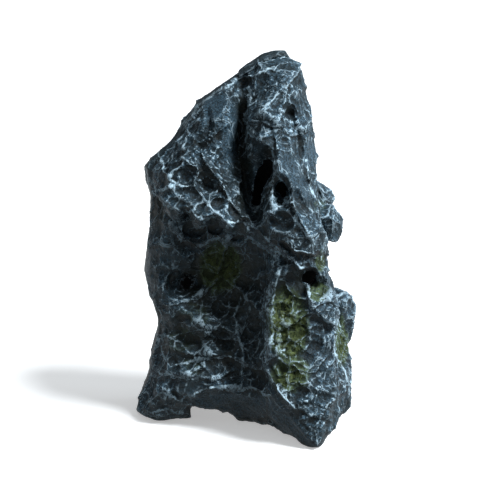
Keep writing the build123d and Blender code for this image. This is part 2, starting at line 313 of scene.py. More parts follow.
PLINTH_MARKS = (
    # The tier of scallops under the brow, and the dark under the left shoulder
    Mark(Tool.LEDGE, ((-48, 13), (-43, 6), (-34, 2), (-28, 4), (-22, 9), (-14, 4), (-8, 2), (0, 9)), 4.5, 9.0),
    Mark(Tool.SCOOP, ((-37, 13),), 3.5, 7.0, 0.7, -10),
    Mark(Tool.SCOOP, ((-21, 14),), 3.0, 6.0, 0.7, 10),
    Mark(Tool.SCOOP, ((-7, 10),), 3.5, 6.5, 0.8, 10),
    Mark(Tool.SCOOP, ((-61, 27),), 4.5, 9.0, 0.75, -30),
    Mark(Tool.SCOOP, ((12, -2),), 3.5, 7.0, 0.8, -20),
    # The dark recess below the brow
    Mark(Tool.SCOOP, ((-24, -12),), 7.0, 36.0, 0.85, -5),
    Mark(Tool.BUMP, ((-43, -6),), 4.0, 10.0, 1.0),
    Mark(Tool.SCOOP, ((-42, -22),), 5.0, 12.0, 0.8, 10),
    Mark(Tool.BUMP, ((3, -34),), 3.0, 8.0, 1.5),
    Mark(Tool.SCOOP, ((-20, -58),), 5.0, 10.0, 0.8, 10),
    Mark(Tool.BUMP, ((-35, -50),), 3.5, 12.0, 0.6, -20),
    Mark(Tool.LEDGE, ((-52, -46), (-40, -42), (-28, -50), (-16, -52)), 2.5, 9.0),
    Mark(Tool.LEDGE, ((-54, -62), (-40, -68), (-28, -66), (-10, -70), (4, -76)), 2.5, 9.0),
    Mark(Tool.LEDGE, ((-60, -76), (-48, -80), (-36, -81), (-24, -84), (-14, -80)), 3.0, 8.0),
    # The buttress: its left crease, its mossy face and the ledge on its right
    Mark(Tool.LEDGE, CREASE, 4.5, 12.0),
    Mark(Tool.RIDGE, CREASE, 2.2, 4.0),
    Mark(Tool.SCOOP, ((31, -51),), 3.0, 6.5, 1.25, 10),
    Mark(Tool.SCOOP, ((20, -40),), 2.2, 5.0, 1.3),
    Mark(Tool.SCOOP, ((20, -60),), 1.4, 6.0, 0.9),
    Mark(Tool.SCOOP, ((32, -67),), 1.6, 6.0, 0.8, 20),
    Mark(Tool.SCOOP, ((24, -78),), 1.2, 7.5, 0.7, -20),
    Mark(Tool.SCOOP, ((40, -60),), 2.5, 7.0, 0.9),
    Mark(Tool.LEDGE, ((36, -26), (39, -36), (46, -43), (56, -49)), 4.0, 9.0),
    Mark(Tool.SCOOP, ((43.5, -25),), 5.0, 7.5, 1.0),
    Mark(Tool.SCOOP, ((34, -19),), 5.0, 10.0, 1.2, 20),
    Mark(Tool.SCOOP, ((44, -8),), 4.0, 5.0, 1.6),
    Mark(Tool.RIDGE, ((56, -40), (57, -48), (54, -58), (54, -66), (58, -75)), 2.4, 4.5),
    Mark(Tool.GROOVE, ((60, -46), (60, -60), (59, -74)), 3.5, 3.0),
    # Ripples above the nose, and the foot on the left
    Mark(Tool.LEDGE, ((22, -92), (34, -88), (46, -92), (58, -86)), 1.8, 5.0),
    Mark(Tool.LEDGE, ((28, -100), (38, -97), (48, -101), (58, -98)), 1.8, 5.0),
    Mark(Tool.LEDGE, ((34, -109), (42, -106), (52, -110)), 1.8, 5.0),
    Mark(Tool.RIDGE, ((-64, -100), (-54, -94), (-44, -98), (-36, -95), (-28, -90), (-22, -85)), 2.0, 4.0),
    Mark(Tool.RIDGE, ((-62, -88), (-52, -90), (-46, -100)), 1.6, 3.5),
    # The lip over the smooth undercut
    Mark(Tool.LEDGE, ((-26, -90), (-14, -89), (0, -88), (12, -94), (22, -104), (34, -118)), 3.0, 8.0),
)


@dataclass(frozen=True)
class Pull:
    """A place where the skin is drawn across or up, which breaks a straight edge or rounds a corner.

    Attributes:
        middle: Where it is strongest.
        reach: Radius of the ground that follows.
        way: Millimetres across and up.
    """

    middle: tuple[float, float]
    reach: float
    way: tuple[float, float]

    def share(self, across: np.ndarray, up: np.ndarray) -> np.ndarray:
        """How far places in the front view follow, from 0 to 1."""
        return smooth(1.0, 0.0, np.hypot(across - self.middle[0], up - self.middle[1]) / self.reach)


PULLS = (
    # The torn edge of the brow
    Pull((-57, 27), 6.0, (0.0, 4.0)),
    Pull((-49, 23), 6.0, (1.0, -3.5)),
    Pull((-41, 22), 6.5, (0.0, 4.0)),
    Pull((-32, 20), 7.0, (-1.0, -4.5)),
    Pull((-22, 19), 6.5, (0.0, 3.5)),
    Pull((-12, 18), 6.5, (1.0, -4.5)),
    Pull((-3, 18), 6.0, (0.0, 3.0)),
    Pull((10, 10), 7.0, (0.0, -3.5)),
    Pull((21, 0), 7.0, (0.0, 3.5)),
    Pull((31, -9), 7.0, (0.0, -3.0)),
    # The left shoulder, the left foot and the shoulders of the water way
    Pull((-70, 58), 16.0, (3.0, -2.0)),
    Pull((-66, 74), 16.0, (-3.0, 1.0)),
    Pull((-72, -106), 14.0, (-3.0, 0.0)),
    Pull((-15, -111), 8.5, (0.0, 6.5)),
    Pull((-38, -104), 6.0, (0.0, 3.0)),
)


class Zone(Enum):
    """Kinds of ground, and the painted shade, each stored on the skin under its own name."""

    CALM = "calm"
    STRATA = "strata"
    PUMICE = "pumice"
    MOSS = "moss"
    # painted shade: a darkening laid where shade falls
    PAINTED_SHADE = "painted_shade"


ZONES: dict[Zone, tuple[Patch, ...]] = {
    Zone.CALM: (
        Patch((-23, 94), 10, 13, 0.85),
        Patch((-12, 74), 7, 25, 0.6, -4),
        Patch((38, 62), 5, 11, 0.75),
        Patch((30, 46), 7, 20, 0.6, 25),
        Patch((-8, -100), 34, 8, 0.9, -4),
        Patch((26, -114), 16, 6, 0.85, -35),
        Patch((0, 40), 5, 22, 0.6, -8),
        Patch((-68, -20), 7, 34, 0.9),
    ),
    Zone.STRATA: (Patch((-23, 56), 20, 24, 1.0, 10), Patch((44, -100), 18, 16, 0.6)),
    Zone.PUMICE: (
        Patch((18, 92), 18, 26, 1.0, 10),
        Patch((27, 60), 12, 22, 0.5, 20),
        Patch((38, 8), 16, 18, 0.8),
        Patch((48, -40), 12, 14, 0.6),
        Patch((42, -120), 10, 8, 0.8),
    ),
    Zone.MOSS: (
        Patch((-19, -11), 15, 19, 0.9),
        Patch((-36, -40), 15, 9, 0.4, -20),
        Patch((-44, -58), 14, 10, 0.4, 10),
        Patch((-36, -75), 14, 7, 0.35, -5),
        Patch((24, -47), 15, 27, 1.0, 5),
        Patch((26, -79), 15, 13, 0.9, 20),
        Patch((44, -27), 8, 7, 0.9),
        Patch((45, -7), 4, 8, 0.8),
        Patch((59, -58), 5, 18, 1.0),
        Patch((45, 28), 5, 7, 0.4),
    ),
    # Painted shade: dark patches under the left shoulder, in the recess, the cleft and the slot, over the undercut
    # and on the left rim
    Zone.PAINTED_SHADE: (
        Patch((-61, 25), 10, 9, 0.9, -25),
        Patch((-18, -22), 28, 28, 0.9),
        Patch((-26, -58), 34, 22, 0.5),
        Patch((0, -60), 10, 40, 0.5),
        Patch((-4, 58), 7, 50, 0.9),
        Patch((9, 38), 7, 20, 0.9, -12),
        Patch((35, -20), 7, 8, 0.9),
        Patch((-10, -102), 40, 10, 0.6, -6),
        Patch((24, -114), 20, 7, 0.6, -35),
        Patch((-68, -20), 8, 40, 0.6),
    ),
}


STROKES: tuple[Points, ...] = (
    # The brow, from the left shoulder to the knob
    ((-68, 54), *BROW_LEFT[1:]),
    BROW_RIGHT,
    FOLD,
    # The rim of the crown and the lip of the cleft
    ((-44, 78), (-34, 92), (-20, 102), (-8, 110), (8, 115), (16, 118)),
    ((-3, 104), (-1, 94), (-4, 83), (2, 75), (8, 68), (14, 64), (16, 52), (12, 30)),
    ((17, 56), (19, 46), (24, 35), (30, 22), (38, 8)),
    ((13, 44), (14, 34), (20, 28), (24, 32), (22, 42), (17, 47)),
    ((36, 58), (39, 44), (44, 30), (50, 22), (50, 8), (46, -6)),
    # The buttress: its crease twice over, and the web on its face
    ((18, -14), (16, -27), (14, -40), (14, -54), (11, -66), (11, -76), (16, -86), (22, -95), (28, -101)),
    ((14, -22), (12, -34), (11.5, -46), (10, -58), (8, -68), (9, -76), (14, -84)),
    ((12, -66), (17, -68), (21, -73), (28, -74), (34, -80)),
    ((20, -44), (25, -50), (24, -58), (20, -64)),
    ((19, -86), (23, -92), (25, -98)),
    ((40, -14), (37, -26), (39, -36), (46, -43), (56, -49)),
    ((56, -44), (54, -58), (54, -66), (62, -78), (62, -90)),
    ((19, -55), (17, -63), (22, -68)),
    # Web on the foot and over the undercut
    ((-66, -96), (-56, -90), (-46, -96), (-36, -92), (-28, -89), (-18, -89), (0, -88), (12, -93)),
    ((-58, -78), (-46, -81), (-34, -82), (-24, -83)),
    ((-64, -104), (-54, -102), (-46, -106), (-38, -98), (-36, -104)),
    ((-60, -54), (-56, -68), (-52, -74), (-42, -72), (-30, -68), (-12, -70), (4, -76)),
    ((-6, -30), (-10, -42), (-8, -54), (-4, -66), (-6, -78)),
    # Web on the left shoulder
    ((-58, 62), (-56, 50), (-48, 42), (-36, 40), (-28, 32), (-22, 24)),
    ((-66, 46), (-58, 38), (-48, 42)),
    ((-36, 40), (-34, 52), (-44, 60)),
    # The tier under the brow
    ((-48, 13), (-43, 6), (-34, 2), (-28, 4), (-22, 9), (-14, 4), (-8, 2), (0, 9), (8, 4), (16, -4)),
    ((-45, 20), (-44, 12), (-43, 6)),
    ((-30, 21), (-28, 12), (-28, 4)),
    ((-14, 19), (-14, 12), (-14, 4)),
    ((2, 4), (10, 2), (18, -2), (28, -6), (36, -14)),
)


def zone_value(zone: Zone, across: np.ndarray, up: np.ndarray) -> np.ndarray:
    """The strongest of a zone's patches at places in the front view."""
    return np.max([patch.value(across, up) for patch in ZONES[zone]], axis=0)


# ---------------------------------------------------------------------------------------------------
# Node trees
# ---------------------------------------------------------------------------------------------------


class Graph:
    """Writes the nodes of one tree, for a shader or for geometry."""

    def __init__(self, tree: bpy.types.NodeTree) -> None:
        """Starts on a tree."""
        self.tree = tree

    def add(self, kind: str, inputs: dict[str | int, object] | None = None, **settings: object) -> bpy.types.Node:
        """Adds a node, sets its properties and fills its inputs.

        Args:
            kind: The node's type name.
            inputs: Sockets or plain values, by the input's name or number. None leaves an input as it is.
            settings: Its properties.

        Returns:
            The node.
        """
        node = self.tree.nodes.new(kind)
        for name, value in settings.items():
            setattr(node, name, value)
        for name, value in (inputs or {}).items():
            if value is not None:
                self.put(node.inputs[name], value)
        return node

    def put(self, target: Socket, value: object) -> None:
        """Links a socket to another one, or sets it to a plain value."""
        if isinstance(value, bpy.types.NodeSocket):
            self.tree.links.new(value, target)
        else:
            target.default_value = value

    def math(self, operation: str, a: object, b: object = None, clamp: bool = False) -> Socket:
        """One step of arithmetic on numbers."""
        return self.add("ShaderNodeMath", {0: a, 1: b}, operation=operation, use_clamp=clamp).outputs[0]

    def vector(self, operation: str, a: object, b: object = None, scale: object = None) -> Socket:
        """One step of arithmetic on vectors."""
        node = self.add("ShaderNodeVectorMath", {0: a, 1: b, "Scale": scale}, operation=operation)
        return node.outputs["Value" if operation == "DOT_PRODUCT" else "Vector"]

    def chain(self, operation: str, values: tuple[object, ...]) -> Socket:
        """Joins values by one operation, from the left."""
        whole = values[0]
        for value in values[1:]:
            whole = self.math(operation, whole, value)
        return whole

    def times(self, *values: object) -> Socket:
        """The product of values."""
        return self.chain("MULTIPLY", values)

    def plus(self, *values: object) -> Socket:
        """The sum of values."""
        return self.chain("ADD", values)

    def most(self, *values: object) -> Socket:
        """The largest of values."""
        return self.chain("MAXIMUM", values)

    def less(self, value: object, amount: object) -> Socket:
        """A value less an amount."""
        return self.math("SUBTRACT", value, amount)

    def remap(self, value: object, low: float, high: float, to_low: float = 0.0, to_high: float = 1.0) -> Socket:
        """A smooth step of a value from one range to another."""
        inputs = {"Value": value, "From Min": low, "From Max": high, "To Min": to_low, "To Max": to_high}
        return self.add("ShaderNodeMapRange", inputs, interpolation_type="SMOOTHSTEP").outputs["Result"]

    def noise(
        self, place: Socket, scale: float, detail: float = 2.0, rough: float = 0.5, colour: bool = False
    ) -> Socket:
        """Fractal noise, as a number or as a vector of three."""
        inputs = {"Vector": place, "Scale": scale, "Detail": detail, "Roughness": rough}
        return self.add("ShaderNodeTexNoise", inputs).outputs["Color" if colour else "Fac"]

    def cells(self, place: Socket, scale: float, feature: str = "F1") -> Socket:
        """Distance to the nearest cell middle, or to the nearest cell edge."""
        inputs = {"Vector": place, "Scale": scale}
        return self.add("ShaderNodeTexVoronoi", inputs, feature=feature).outputs["Distance"]

    def mix(self, share: object, a: object, b: object) -> Socket:
        """A mix of two colours."""
        return self.add("ShaderNodeMix", {0: share, 6: a, 7: b}, data_type="RGBA").outputs[2]

    def warped(self, place: Socket, scale: float, amount: float) -> Socket:
        """A place moved about by noise."""
        drift = self.vector("SUBTRACT", self.noise(place, scale, 3.0, 0.55, colour=True), (0.5, 0.5, 0.5))
        return self.vector("ADD", place, self.vector("SCALE", drift, scale=amount))


def bent_places(graph: Graph, place: Socket) -> tuple[Socket, Socket, Socket]:
    """The places that the large, the medium and the small bowls are laid out on, each bent by noise.

    Args:
        graph: A graph of either kind.
        place: Places before the relief, in millimetres.

    Returns:
        The three bent places.
    """
    slow = graph.warped(place, 1.0 / 26.0, 12.0)
    bent = graph.warped(slow, 1.0 / 7.0, 3.2)
    return graph.vector("MULTIPLY", slow, (1.0, 1.0, 0.75)), bent, graph.warped(bent, 1.0 / 3.0, 1.6)


def geometry_tree(name: str, inputs: dict[str, object]) -> tuple[Graph, bpy.types.Node, bpy.types.Node]:
    """Starts a geometry tree with a geometry socket, named numbers and a finish.

    Args:
        name: The tree's name.
        inputs: Names of its numbers and of its finish, with their values.

    Returns:
        The graph, its input node and its output node.
    """
    tree = bpy.data.node_groups.new(name, "GeometryNodeTree")
    tree.interface.new_socket("Geometry", in_out="INPUT", socket_type="NodeSocketGeometry")
    for label, value in inputs.items():
        kind = "NodeSocketMaterial" if isinstance(value, bpy.types.Material) else "NodeSocketFloat"
        socket = tree.interface.new_socket(label, in_out="INPUT", socket_type=kind)
        socket.default_value = value
    tree.interface.new_socket("Geometry", in_out="OUTPUT", socket_type="NodeSocketGeometry")
    graph = Graph(tree)
    return graph, graph.add("NodeGroupInput"), graph.add("NodeGroupOutput")


def close_tree(graph: Graph, geometry: Socket, start: bpy.types.Node, end: bpy.types.Node) -> None:
    """Ends a geometry tree: its instances are made real, and all of it takes the finish that the tree is given.

    Args:
        graph: The tree's graph.
        geometry: What the tree made.
        start: Its input node, with a finish.
        end: Its output node.
    """
    whole = graph.add("GeometryNodeRealizeInstances", {0: geometry})
    inputs = {"Geometry": whole.outputs[0], "Material": start.outputs["Finish"]}
    graph.put(end.inputs["Geometry"], graph.add("GeometryNodeSetMaterial", inputs).outputs[0])


def store_vector(graph: Graph, geometry: Socket, name: str, value: Socket) -> Socket:
    """Stores a vector on the points of a geometry, and gives the geometry that follows."""
    inputs = {"Geometry": geometry, "Name": name, "Value": value}
    keep = graph.add("GeometryNodeStoreNamedAttribute", inputs, data_type="FLOAT_VECTOR", domain="POINT")
    return keep.outputs["Geometry"]


def run_tree(piece: bpy.types.Object, tree: bpy.types.NodeTree, values: dict[str, object]) -> None:
    """Runs a geometry tree on an object and keeps the result as its plain mesh.

    Args:
        piece: The object.
        tree: The tree.
        values: Its inputs by name.
    """
    modifier = piece.modifiers.new(tree.name, "NODES")
    modifier.node_group = tree
    for item in tree.interface.items_tree:
        if item.in_out == "INPUT" and item.name in values:
            modifier[item.identifier] = values[item.name]
    keep_result(piece)


def keep_result(piece: bpy.types.Object) -> None:
    """Replaces an object's mesh by what its modifiers make of it, and removes them."""
    graph = bpy.context.evaluated_depsgraph_get()
    mesh = bpy.data.meshes.new_from_object(piece.evaluated_get(graph))
    piece.modifiers.clear()
    old = piece.data
    piece.data = mesh
    bpy.data.meshes.remove(old)


# ---------------------------------------------------------------------------------------------------
# Meshes as arrays
# ---------------------------------------------------------------------------------------------------


def places_of(mesh: bpy.types.Mesh) -> np.ndarray:
    """A mesh's points in millimetres."""
    flat = np.empty(len(mesh.vertices) * 3, np.float32)
    mesh.vertices.foreach_get("co", flat)
    return flat.reshape(-1, 3).astype(float) / MM


def normals_of(mesh: bpy.types.Mesh) -> np.ndarray:
    """A mesh's point normals."""
    flat = np.empty(len(mesh.vertices) * 3, np.float32)
    mesh.vertex_normals.foreach_get("vector", flat)
    return flat.reshape(-1, 3).astype(float)


def move_points(mesh: bpy.types.Mesh, places: np.ndarray) -> None:
    """Sets a mesh's points, given in millimetres."""
    mesh.vertices.foreach_set("co", (places * MM).astype(np.float32).ravel())
    mesh.update()


def write_values(mesh: bpy.types.Mesh, name: str, values: np.ndarray) -> None:
    """Stores one number for each point of a mesh."""
    attribute = mesh.attributes.get(name) or mesh.attributes.new(name, "FLOAT", "POINT")
    attribute.data.foreach_set("value", values.astype(np.float32))


def read_values(mesh: bpy.types.Mesh, name: str) -> np.ndarray:
    """The stored number of each point of a mesh."""
    values = np.zeros(len(mesh.vertices), np.float32)
    mesh.attributes[name].data.foreach_get("value", values)
    return values.astype(float)


def read_vectors(mesh: bpy.types.Mesh, name: str) -> np.ndarray:
    """The stored vector of each point of a mesh."""
    flat = np.zeros(len(mesh.vertices) * 3, np.float32)
    mesh.attributes[name].data.foreach_get("vector", flat)
    return flat.reshape(-1, 3).astype(float)


def edges_of(mesh: bpy.types.Mesh) -> np.ndarray:
    """A mesh's edges as pairs of point numbers."""
    flat = np.empty(len(mesh.edges) * 2, np.int32)
    mesh.edges.foreach_get("vertices", flat)
    return flat.reshape(-1, 2)


def averaged(values: np.ndarray, edges: np.ndarray, rounds: int) -> np.ndarray:
    """Values averaged with their neighbours along the edges.

    Args:
        values: One number or one row for each point.
        edges: Pairs of point numbers.
        rounds: How many times to average.

    Returns:
        The averaged values.
    """
    count = np.bincount(edges.ravel(), minlength=len(values)).astype(float)
    count[count == 0] = 1.0
    columns = values.reshape(len(values), -1).copy()
    for _ in range(rounds):
        for k in range(columns.shape[1]):
            column = columns[:, k]
            total = np.bincount(edges[:, 0], column[edges[:, 1]], len(column))
            total += np.bincount(edges[:, 1], column[edges[:, 0]], len(column))
            columns[:, k] = 0.5 * column + 0.5 * total / count
    return columns.reshape(values.shape)


def fit_to_solids(mesh: bpy.types.Mesh) -> None:
    """Keeps every point of a mesh within the box of the solids."""
    low, high = (np.array(corner) / MM for corner in CAD_BOX)
    move_points(mesh, np.clip(places_of(mesh), low + BOX_SPARE, high - BOX_SPARE))


def new_object(name: str, mesh: bpy.types.Mesh) -> bpy.types.Object:
    """Links a new object that sits at the origin."""
    piece = bpy.data.objects.new(name, mesh)
    bpy.context.scene.collection.objects.link(piece)
    return piece


def merged_copy(nodes: tuple[str, ...], name: str) -> bpy.types.Object:
    """One object from copies of some nodes' meshes, with their doubled points merged.

    Args:
        nodes: Names of the frame's nodes.
        name: Name of the new object.

    Returns:
        The object.
    """
    whole = bmesh.new()
    for node in nodes:
        part = bmesh.new()
        part.from_mesh(frame["nodes"][node].data)
        bmesh.ops.remove_doubles(part, verts=part.verts, dist=1e-6)
        loose = bpy.data.meshes.new(node + "_copy")
        part.to_mesh(loose)
        part.free()
        whole.from_mesh(loose)
        bpy.data.meshes.remove(loose)
    mesh = bpy.data.meshes.new(name)
    whole.to_mesh(mesh)
    whole.free()
    return new_object(name, mesh)


def voxel_remesh(piece: bpy.types.Object, size: float) -> None:
    """Rebuilds an object as one even closed skin, with cells of a size in millimetres."""
    modifier = piece.modifiers.new("even", "REMESH")
    modifier.mode = "VOXEL"
    modifier.voxel_size = size * MM
    keep_result(piece)


# ---------------------------------------------------------------------------------------------------
# Relief by rule
# ---------------------------------------------------------------------------------------------------


@dataclass(frozen=True)
class Relief:
    """Sizes of the scalloped relief of the cast stone.

    Attributes:
        swell: Height of the slow rise and fall over the faces.
        large: Depth of the large bowls.
        medium: Depth of the bowls that give the stone its net of crests.
        small: Depth of the small bowls.
        strata: Depth of the slanting layers.
        grit: Height of the finest roughness.
    """

    swell: float = 5.0
    large: float = 3.4
    medium: float = 2.1
    small: float = 0.6
    strata: float = 0.6
    grit: float = 1.1

    def tree(self, finish: bpy.types.Material) -> bpy.types.NodeTree:
        """The tree that moves each point along its normal, by as much as its stored carve allows.

        Args:
            finish: The finish that the tree gives until a piece is dressed.

        Returns:
            The tree.
        """
        labels = {"Swell": 0.0, "Large": 0.0, "Medium": 0.0, "Small": 0.0, "Strata": 0.0, "Grit": 0.0}
        g, start, end = geometry_tree("stone_relief", {**labels, "Finish": finish})
        place = g.vector("SCALE", g.add("GeometryNodeInputPosition").outputs[0], scale=1.0 / MM)
        slow, bent, fine_bent = bent_places(g, place)
        slanted = g.vector("DOT_PRODUCT", g.warped(bent, 1.0 / 11.0, 5.0), (0.62, 0.25, 0.74))
        layer = g.math("FRACT", g.math("DIVIDE", slanted, 2.9))
        step = g.less(g.remap(layer, 0.0, 0.8), g.remap(layer, 0.8, 1.0))
        rough = g.remap(g.noise(place, 1.0 / 17.0, 2.0), 0.36, 0.6, 0.6, 1.0)
        pumice = self.named(g, "pumice")
        fine = g.plus(rough, g.times(pumice, 1.2))
        broad = g.times(rough, g.remap(pumice, 0.0, 1.0, 1.0, 0.5))
        terms = {
            "Swell": g.less(g.noise(place, 1.0 / 34.0, 2.0), 0.5),
            "Large": self.bowls(g, slow, LARGE_CELL, 0.35),
            "Medium": g.times(self.bowls(g, bent, MEDIUM_CELL, 0.4), broad),
            "Small": g.times(self.bowls(g, fine_bent, SMALL_CELL, 0.3), rough),
            "Strata": g.times(g.less(step, 0.5), self.named(g, "strata")),
            "Grit": g.times(g.less(g.noise(bent, 1.0 / 2.4, 4.0, 0.7), 0.5), fine),
        }
        height = g.plus(0.0, *(g.times(term, start.outputs[label]) for label, term in terms.items()))
        kept = store_vector(g, start.outputs["Geometry"], "rest", place)
        carved = g.times(height, self.named(g, "carve"), MM)
        offset = g.vector("SCALE", g.add("GeometryNodeInputNormal").outputs[0], scale=carved)
        move = g.add("GeometryNodeSetPosition", {"Geometry": kept, "Offset": offset})
        close_tree(g, move.outputs["Geometry"], start, end)
        return g.tree

    @staticmethod
    def bowls(graph: Graph, place: Socket, cell: float, shelf: float) -> Socket:
        """Bowls that meet in sharp crests, each with its lower rim out like a shelf.

        Args:
            graph: The tree's graph.
            place: Bent places.
            cell: Size of a bowl.
            shelf: How far the lower rim stands out, as a share of the bowl's depth.

        Returns:
            Height, from about -0.5 in the middle of a bowl to 1 on a shelf.
        """
        near = graph.add("ShaderNodeTexVoronoi", {"Vector": place, "Scale": 1.0 / cell}, feature="F1")
        distance = near.outputs["Distance"]
        bowl = graph.less(graph.times(distance, distance, 1.5), 0.5)
        local = graph.vector("SUBTRACT", near.outputs["Position"], place)
        tilt = graph.vector("DOT_PRODUCT", local, (-0.35, 0.0, 0.94))
        return graph.plus(bowl, graph.times(tilt, shelf / cell))

    @staticmethod
    def named(graph: Graph, name: str) -> Socket:
        """A stored number of the points."""
        return graph.add("GeometryNodeInputNamedAttribute", {"Name": name}, data_type="FLOAT").outputs[0]

    def apply(self, piece: bpy.types.Object, tree: bpy.types.NodeTree) -> None:
        """Gives a piece its relief.

        Args:
            piece: A piece whose points store how far they may be carved.
            tree: The tree made by this class.
        """
        labels = ("swell", "large", "medium", "small", "strata", "grit")
        run_tree(piece, tree, {label.capitalize(): getattr(self, label) for label in labels})


def drift_tree(finish: bpy.types.Material) -> bpy.types.NodeTree:
    """The tree that stores a wandering offset, by which straight strokes and round holes lose their rule."""
    g, start, end = geometry_tree("stone_drift", {"Finish": finish})
    place = g.vector("SCALE", g.add("GeometryNodeInputPosition").outputs[0], scale=1.0 / MM)
    broad = g.vector("SUBTRACT", g.noise(place, 1.0 / 15.0, 2.0, colour=True), (0.5, 0.5, 0.5))
    fine = g.vector("SUBTRACT", g.noise(place, 1.0 / 4.5, 3.0, 0.6, colour=True), (0.5, 0.5, 0.5))
    whole = g.vector("ADD", g.vector("SCALE", broad, scale=9.0), g.vector("SCALE", fine, scale=3.5))
    close_tree(g, store_vector(g, start.outputs["Geometry"], "drift", whole), start, end)
    return g.tree


# ---------------------------------------------------------------------------------------------------
# Paint masks from shape
# ---------------------------------------------------------------------------------------------------


@dataclass(frozen=True)
class WearMasks:
    """Stores on each point what a brush, a wash and a mould leave there.

    Attributes:
        crest_height: How far a crest stands above its surroundings to take the whole brush.
        hollow_depth: How deep a hollow lies to keep the whole wash.
    """

    crest_height: float = 0.12
    hollow_depth: float = 0.9

    def store(self, piece: bpy.types.Object, spread: float) -> None:
        """Measures a piece's shape and stores its masks.

        Args:
            piece: The piece.
            spread: Rounds of averaging for each millimetre squared, set by its cell size.
        """
        mesh = piece.data
        places, normals, edges = places_of(mesh), normals_of(mesh), edges_of(mesh)
        near = averaged(places, edges, max(1, round(1.6 * spread)))
        middle = averaged(near, edges, max(1, round(8 * spread)))
        wide = averaged(middle, edges, max(1, round(60 * spread)))
        crest = dots(places - near, normals)
        form = dots(near - middle, normals)
        bowl = dots(middle - wide, normals)
        write_values(mesh, "crest", np.clip(crest / self.crest_height, 0.0, 1.5))
        write_values(mesh, "form", np.clip(0.5 + form / 0.7, 0.0, 1.0))
        write_values(mesh, "hollow", np.clip(-bowl / self.hollow_depth, 0.0, 1.0))


# ---------------------------------------------------------------------------------------------------
# Finishes
# ---------------------------------------------------------------------------------------------------

Colour = tuple[float, float, float, float]


def shade(red: float, green: float, blue: float) -> Colour:
    """A colour from display values between 0 and 1."""
    values = [c / 12.92 if c <= 0.04045 else ((c + 0.055) / 1.055) ** 2.4 for c in (red, green, blue)]
    return (values[0], values[1], values[2], 1.0)


class ShaderGroup:
    """A shader node group, built once and placed in each finish that uses it."""

    def __init__(self, name: str, inputs: dict[str, object], outputs: dict[str, str]) -> None:
        """Starts the group.

        Args:
            name: Its name.
            inputs: Names of its inputs, with their values: a number, or a colour of four.
            outputs: Names of its outputs, each with its kind, Float or Color.
        """
        self.tree = bpy.data.node_groups.new(name, "ShaderNodeTree")
        for label, value in inputs.items():
            kind = "NodeSocketColor" if isinstance(value, tuple) else "NodeSocketFloat"
            self.tree.interface.new_socket(label, in_out="INPUT", socket_type=kind).default_value = value
        for label, kind in outputs.items():
            self.tree.interface.new_socket(label, in_out="OUTPUT", socket_type="NodeSocket" + kind)
        self.graph = Graph(self.tree)
        self.start = self.graph.add("NodeGroupInput").outputs
        self.end = self.graph.add("NodeGroupOutput").inputs

    def place(self, graph: Graph, values: dict[str, object]) -> bpy.types.NodeOutputs:
        """Places the group in a material.

        Args:
            graph: The material's graph.
            values: Its inputs by name.

        Returns:
            The outputs of the placed node.
        """
        node = graph.add("ShaderNodeGroup", node_tree=self.tree)
        for name, value in values.items():
            graph.put(node.inputs[name], value)
        return node.outputs


def stored(graph: Graph, name: str) -> Socket:
    """A stored number of the surface."""
    return graph.add("ShaderNodeAttribute", attribute_type="GEOMETRY", attribute_name=name).outputs["Fac"]


def object_place(graph: Graph) -> Socket:
    """Object coordinates in millimetres."""
    return graph.vector("SCALE", graph.add("ShaderNodeTexCoord").outputs["Object"], scale=1.0 / MM)


# Each size of bowl in the net: its cell, the width of its lines in millimetres, and their strength
NET_LINES = ((LARGE_CELL, 0.42, 1.0), (MEDIUM_CELL, 0.31, 1.0), (SMALL_CELL, 0.22, 0.5))


def net_group() -> ShaderGroup:
    """Thin lines on the crests where the bowls of the relief meet, broken as a dry brush leaves them."""
    group = ShaderGroup("crest_net", {"Width": 1.0}, {"Line": "Float"})
    g = group.graph
    rest = g.add("ShaderNodeAttribute", attribute_type="GEOMETRY", attribute_name="rest").outputs["Vector"]
    broken = g.less(g.noise(rest, 1 / 1.6, 3.0, 0.6), 0.5)
    whole: object = 0.0
    for place, (cell, width, strength) in zip(bent_places(g, rest), NET_LINES):
        distance = g.times(g.cells(place, 1.0 / cell, "DISTANCE_TO_EDGE"), cell)
        distance = g.math("DIVIDE", distance, group.start["Width"])
        distance = g.plus(distance, g.times(broken, 1.6 * width))
        whole = g.most(whole, g.remap(distance, 0.1 * width, width, strength, 0.0))
    there = g.remap(g.noise(rest, 1 / 6.0, 2.0), 0.45, 0.6, 0.06, 1.0)
    g.put(group.end["Line"], g.times(whole, there, g.remap(stored(g, "carve"), 0.15, 0.5)))
    return group


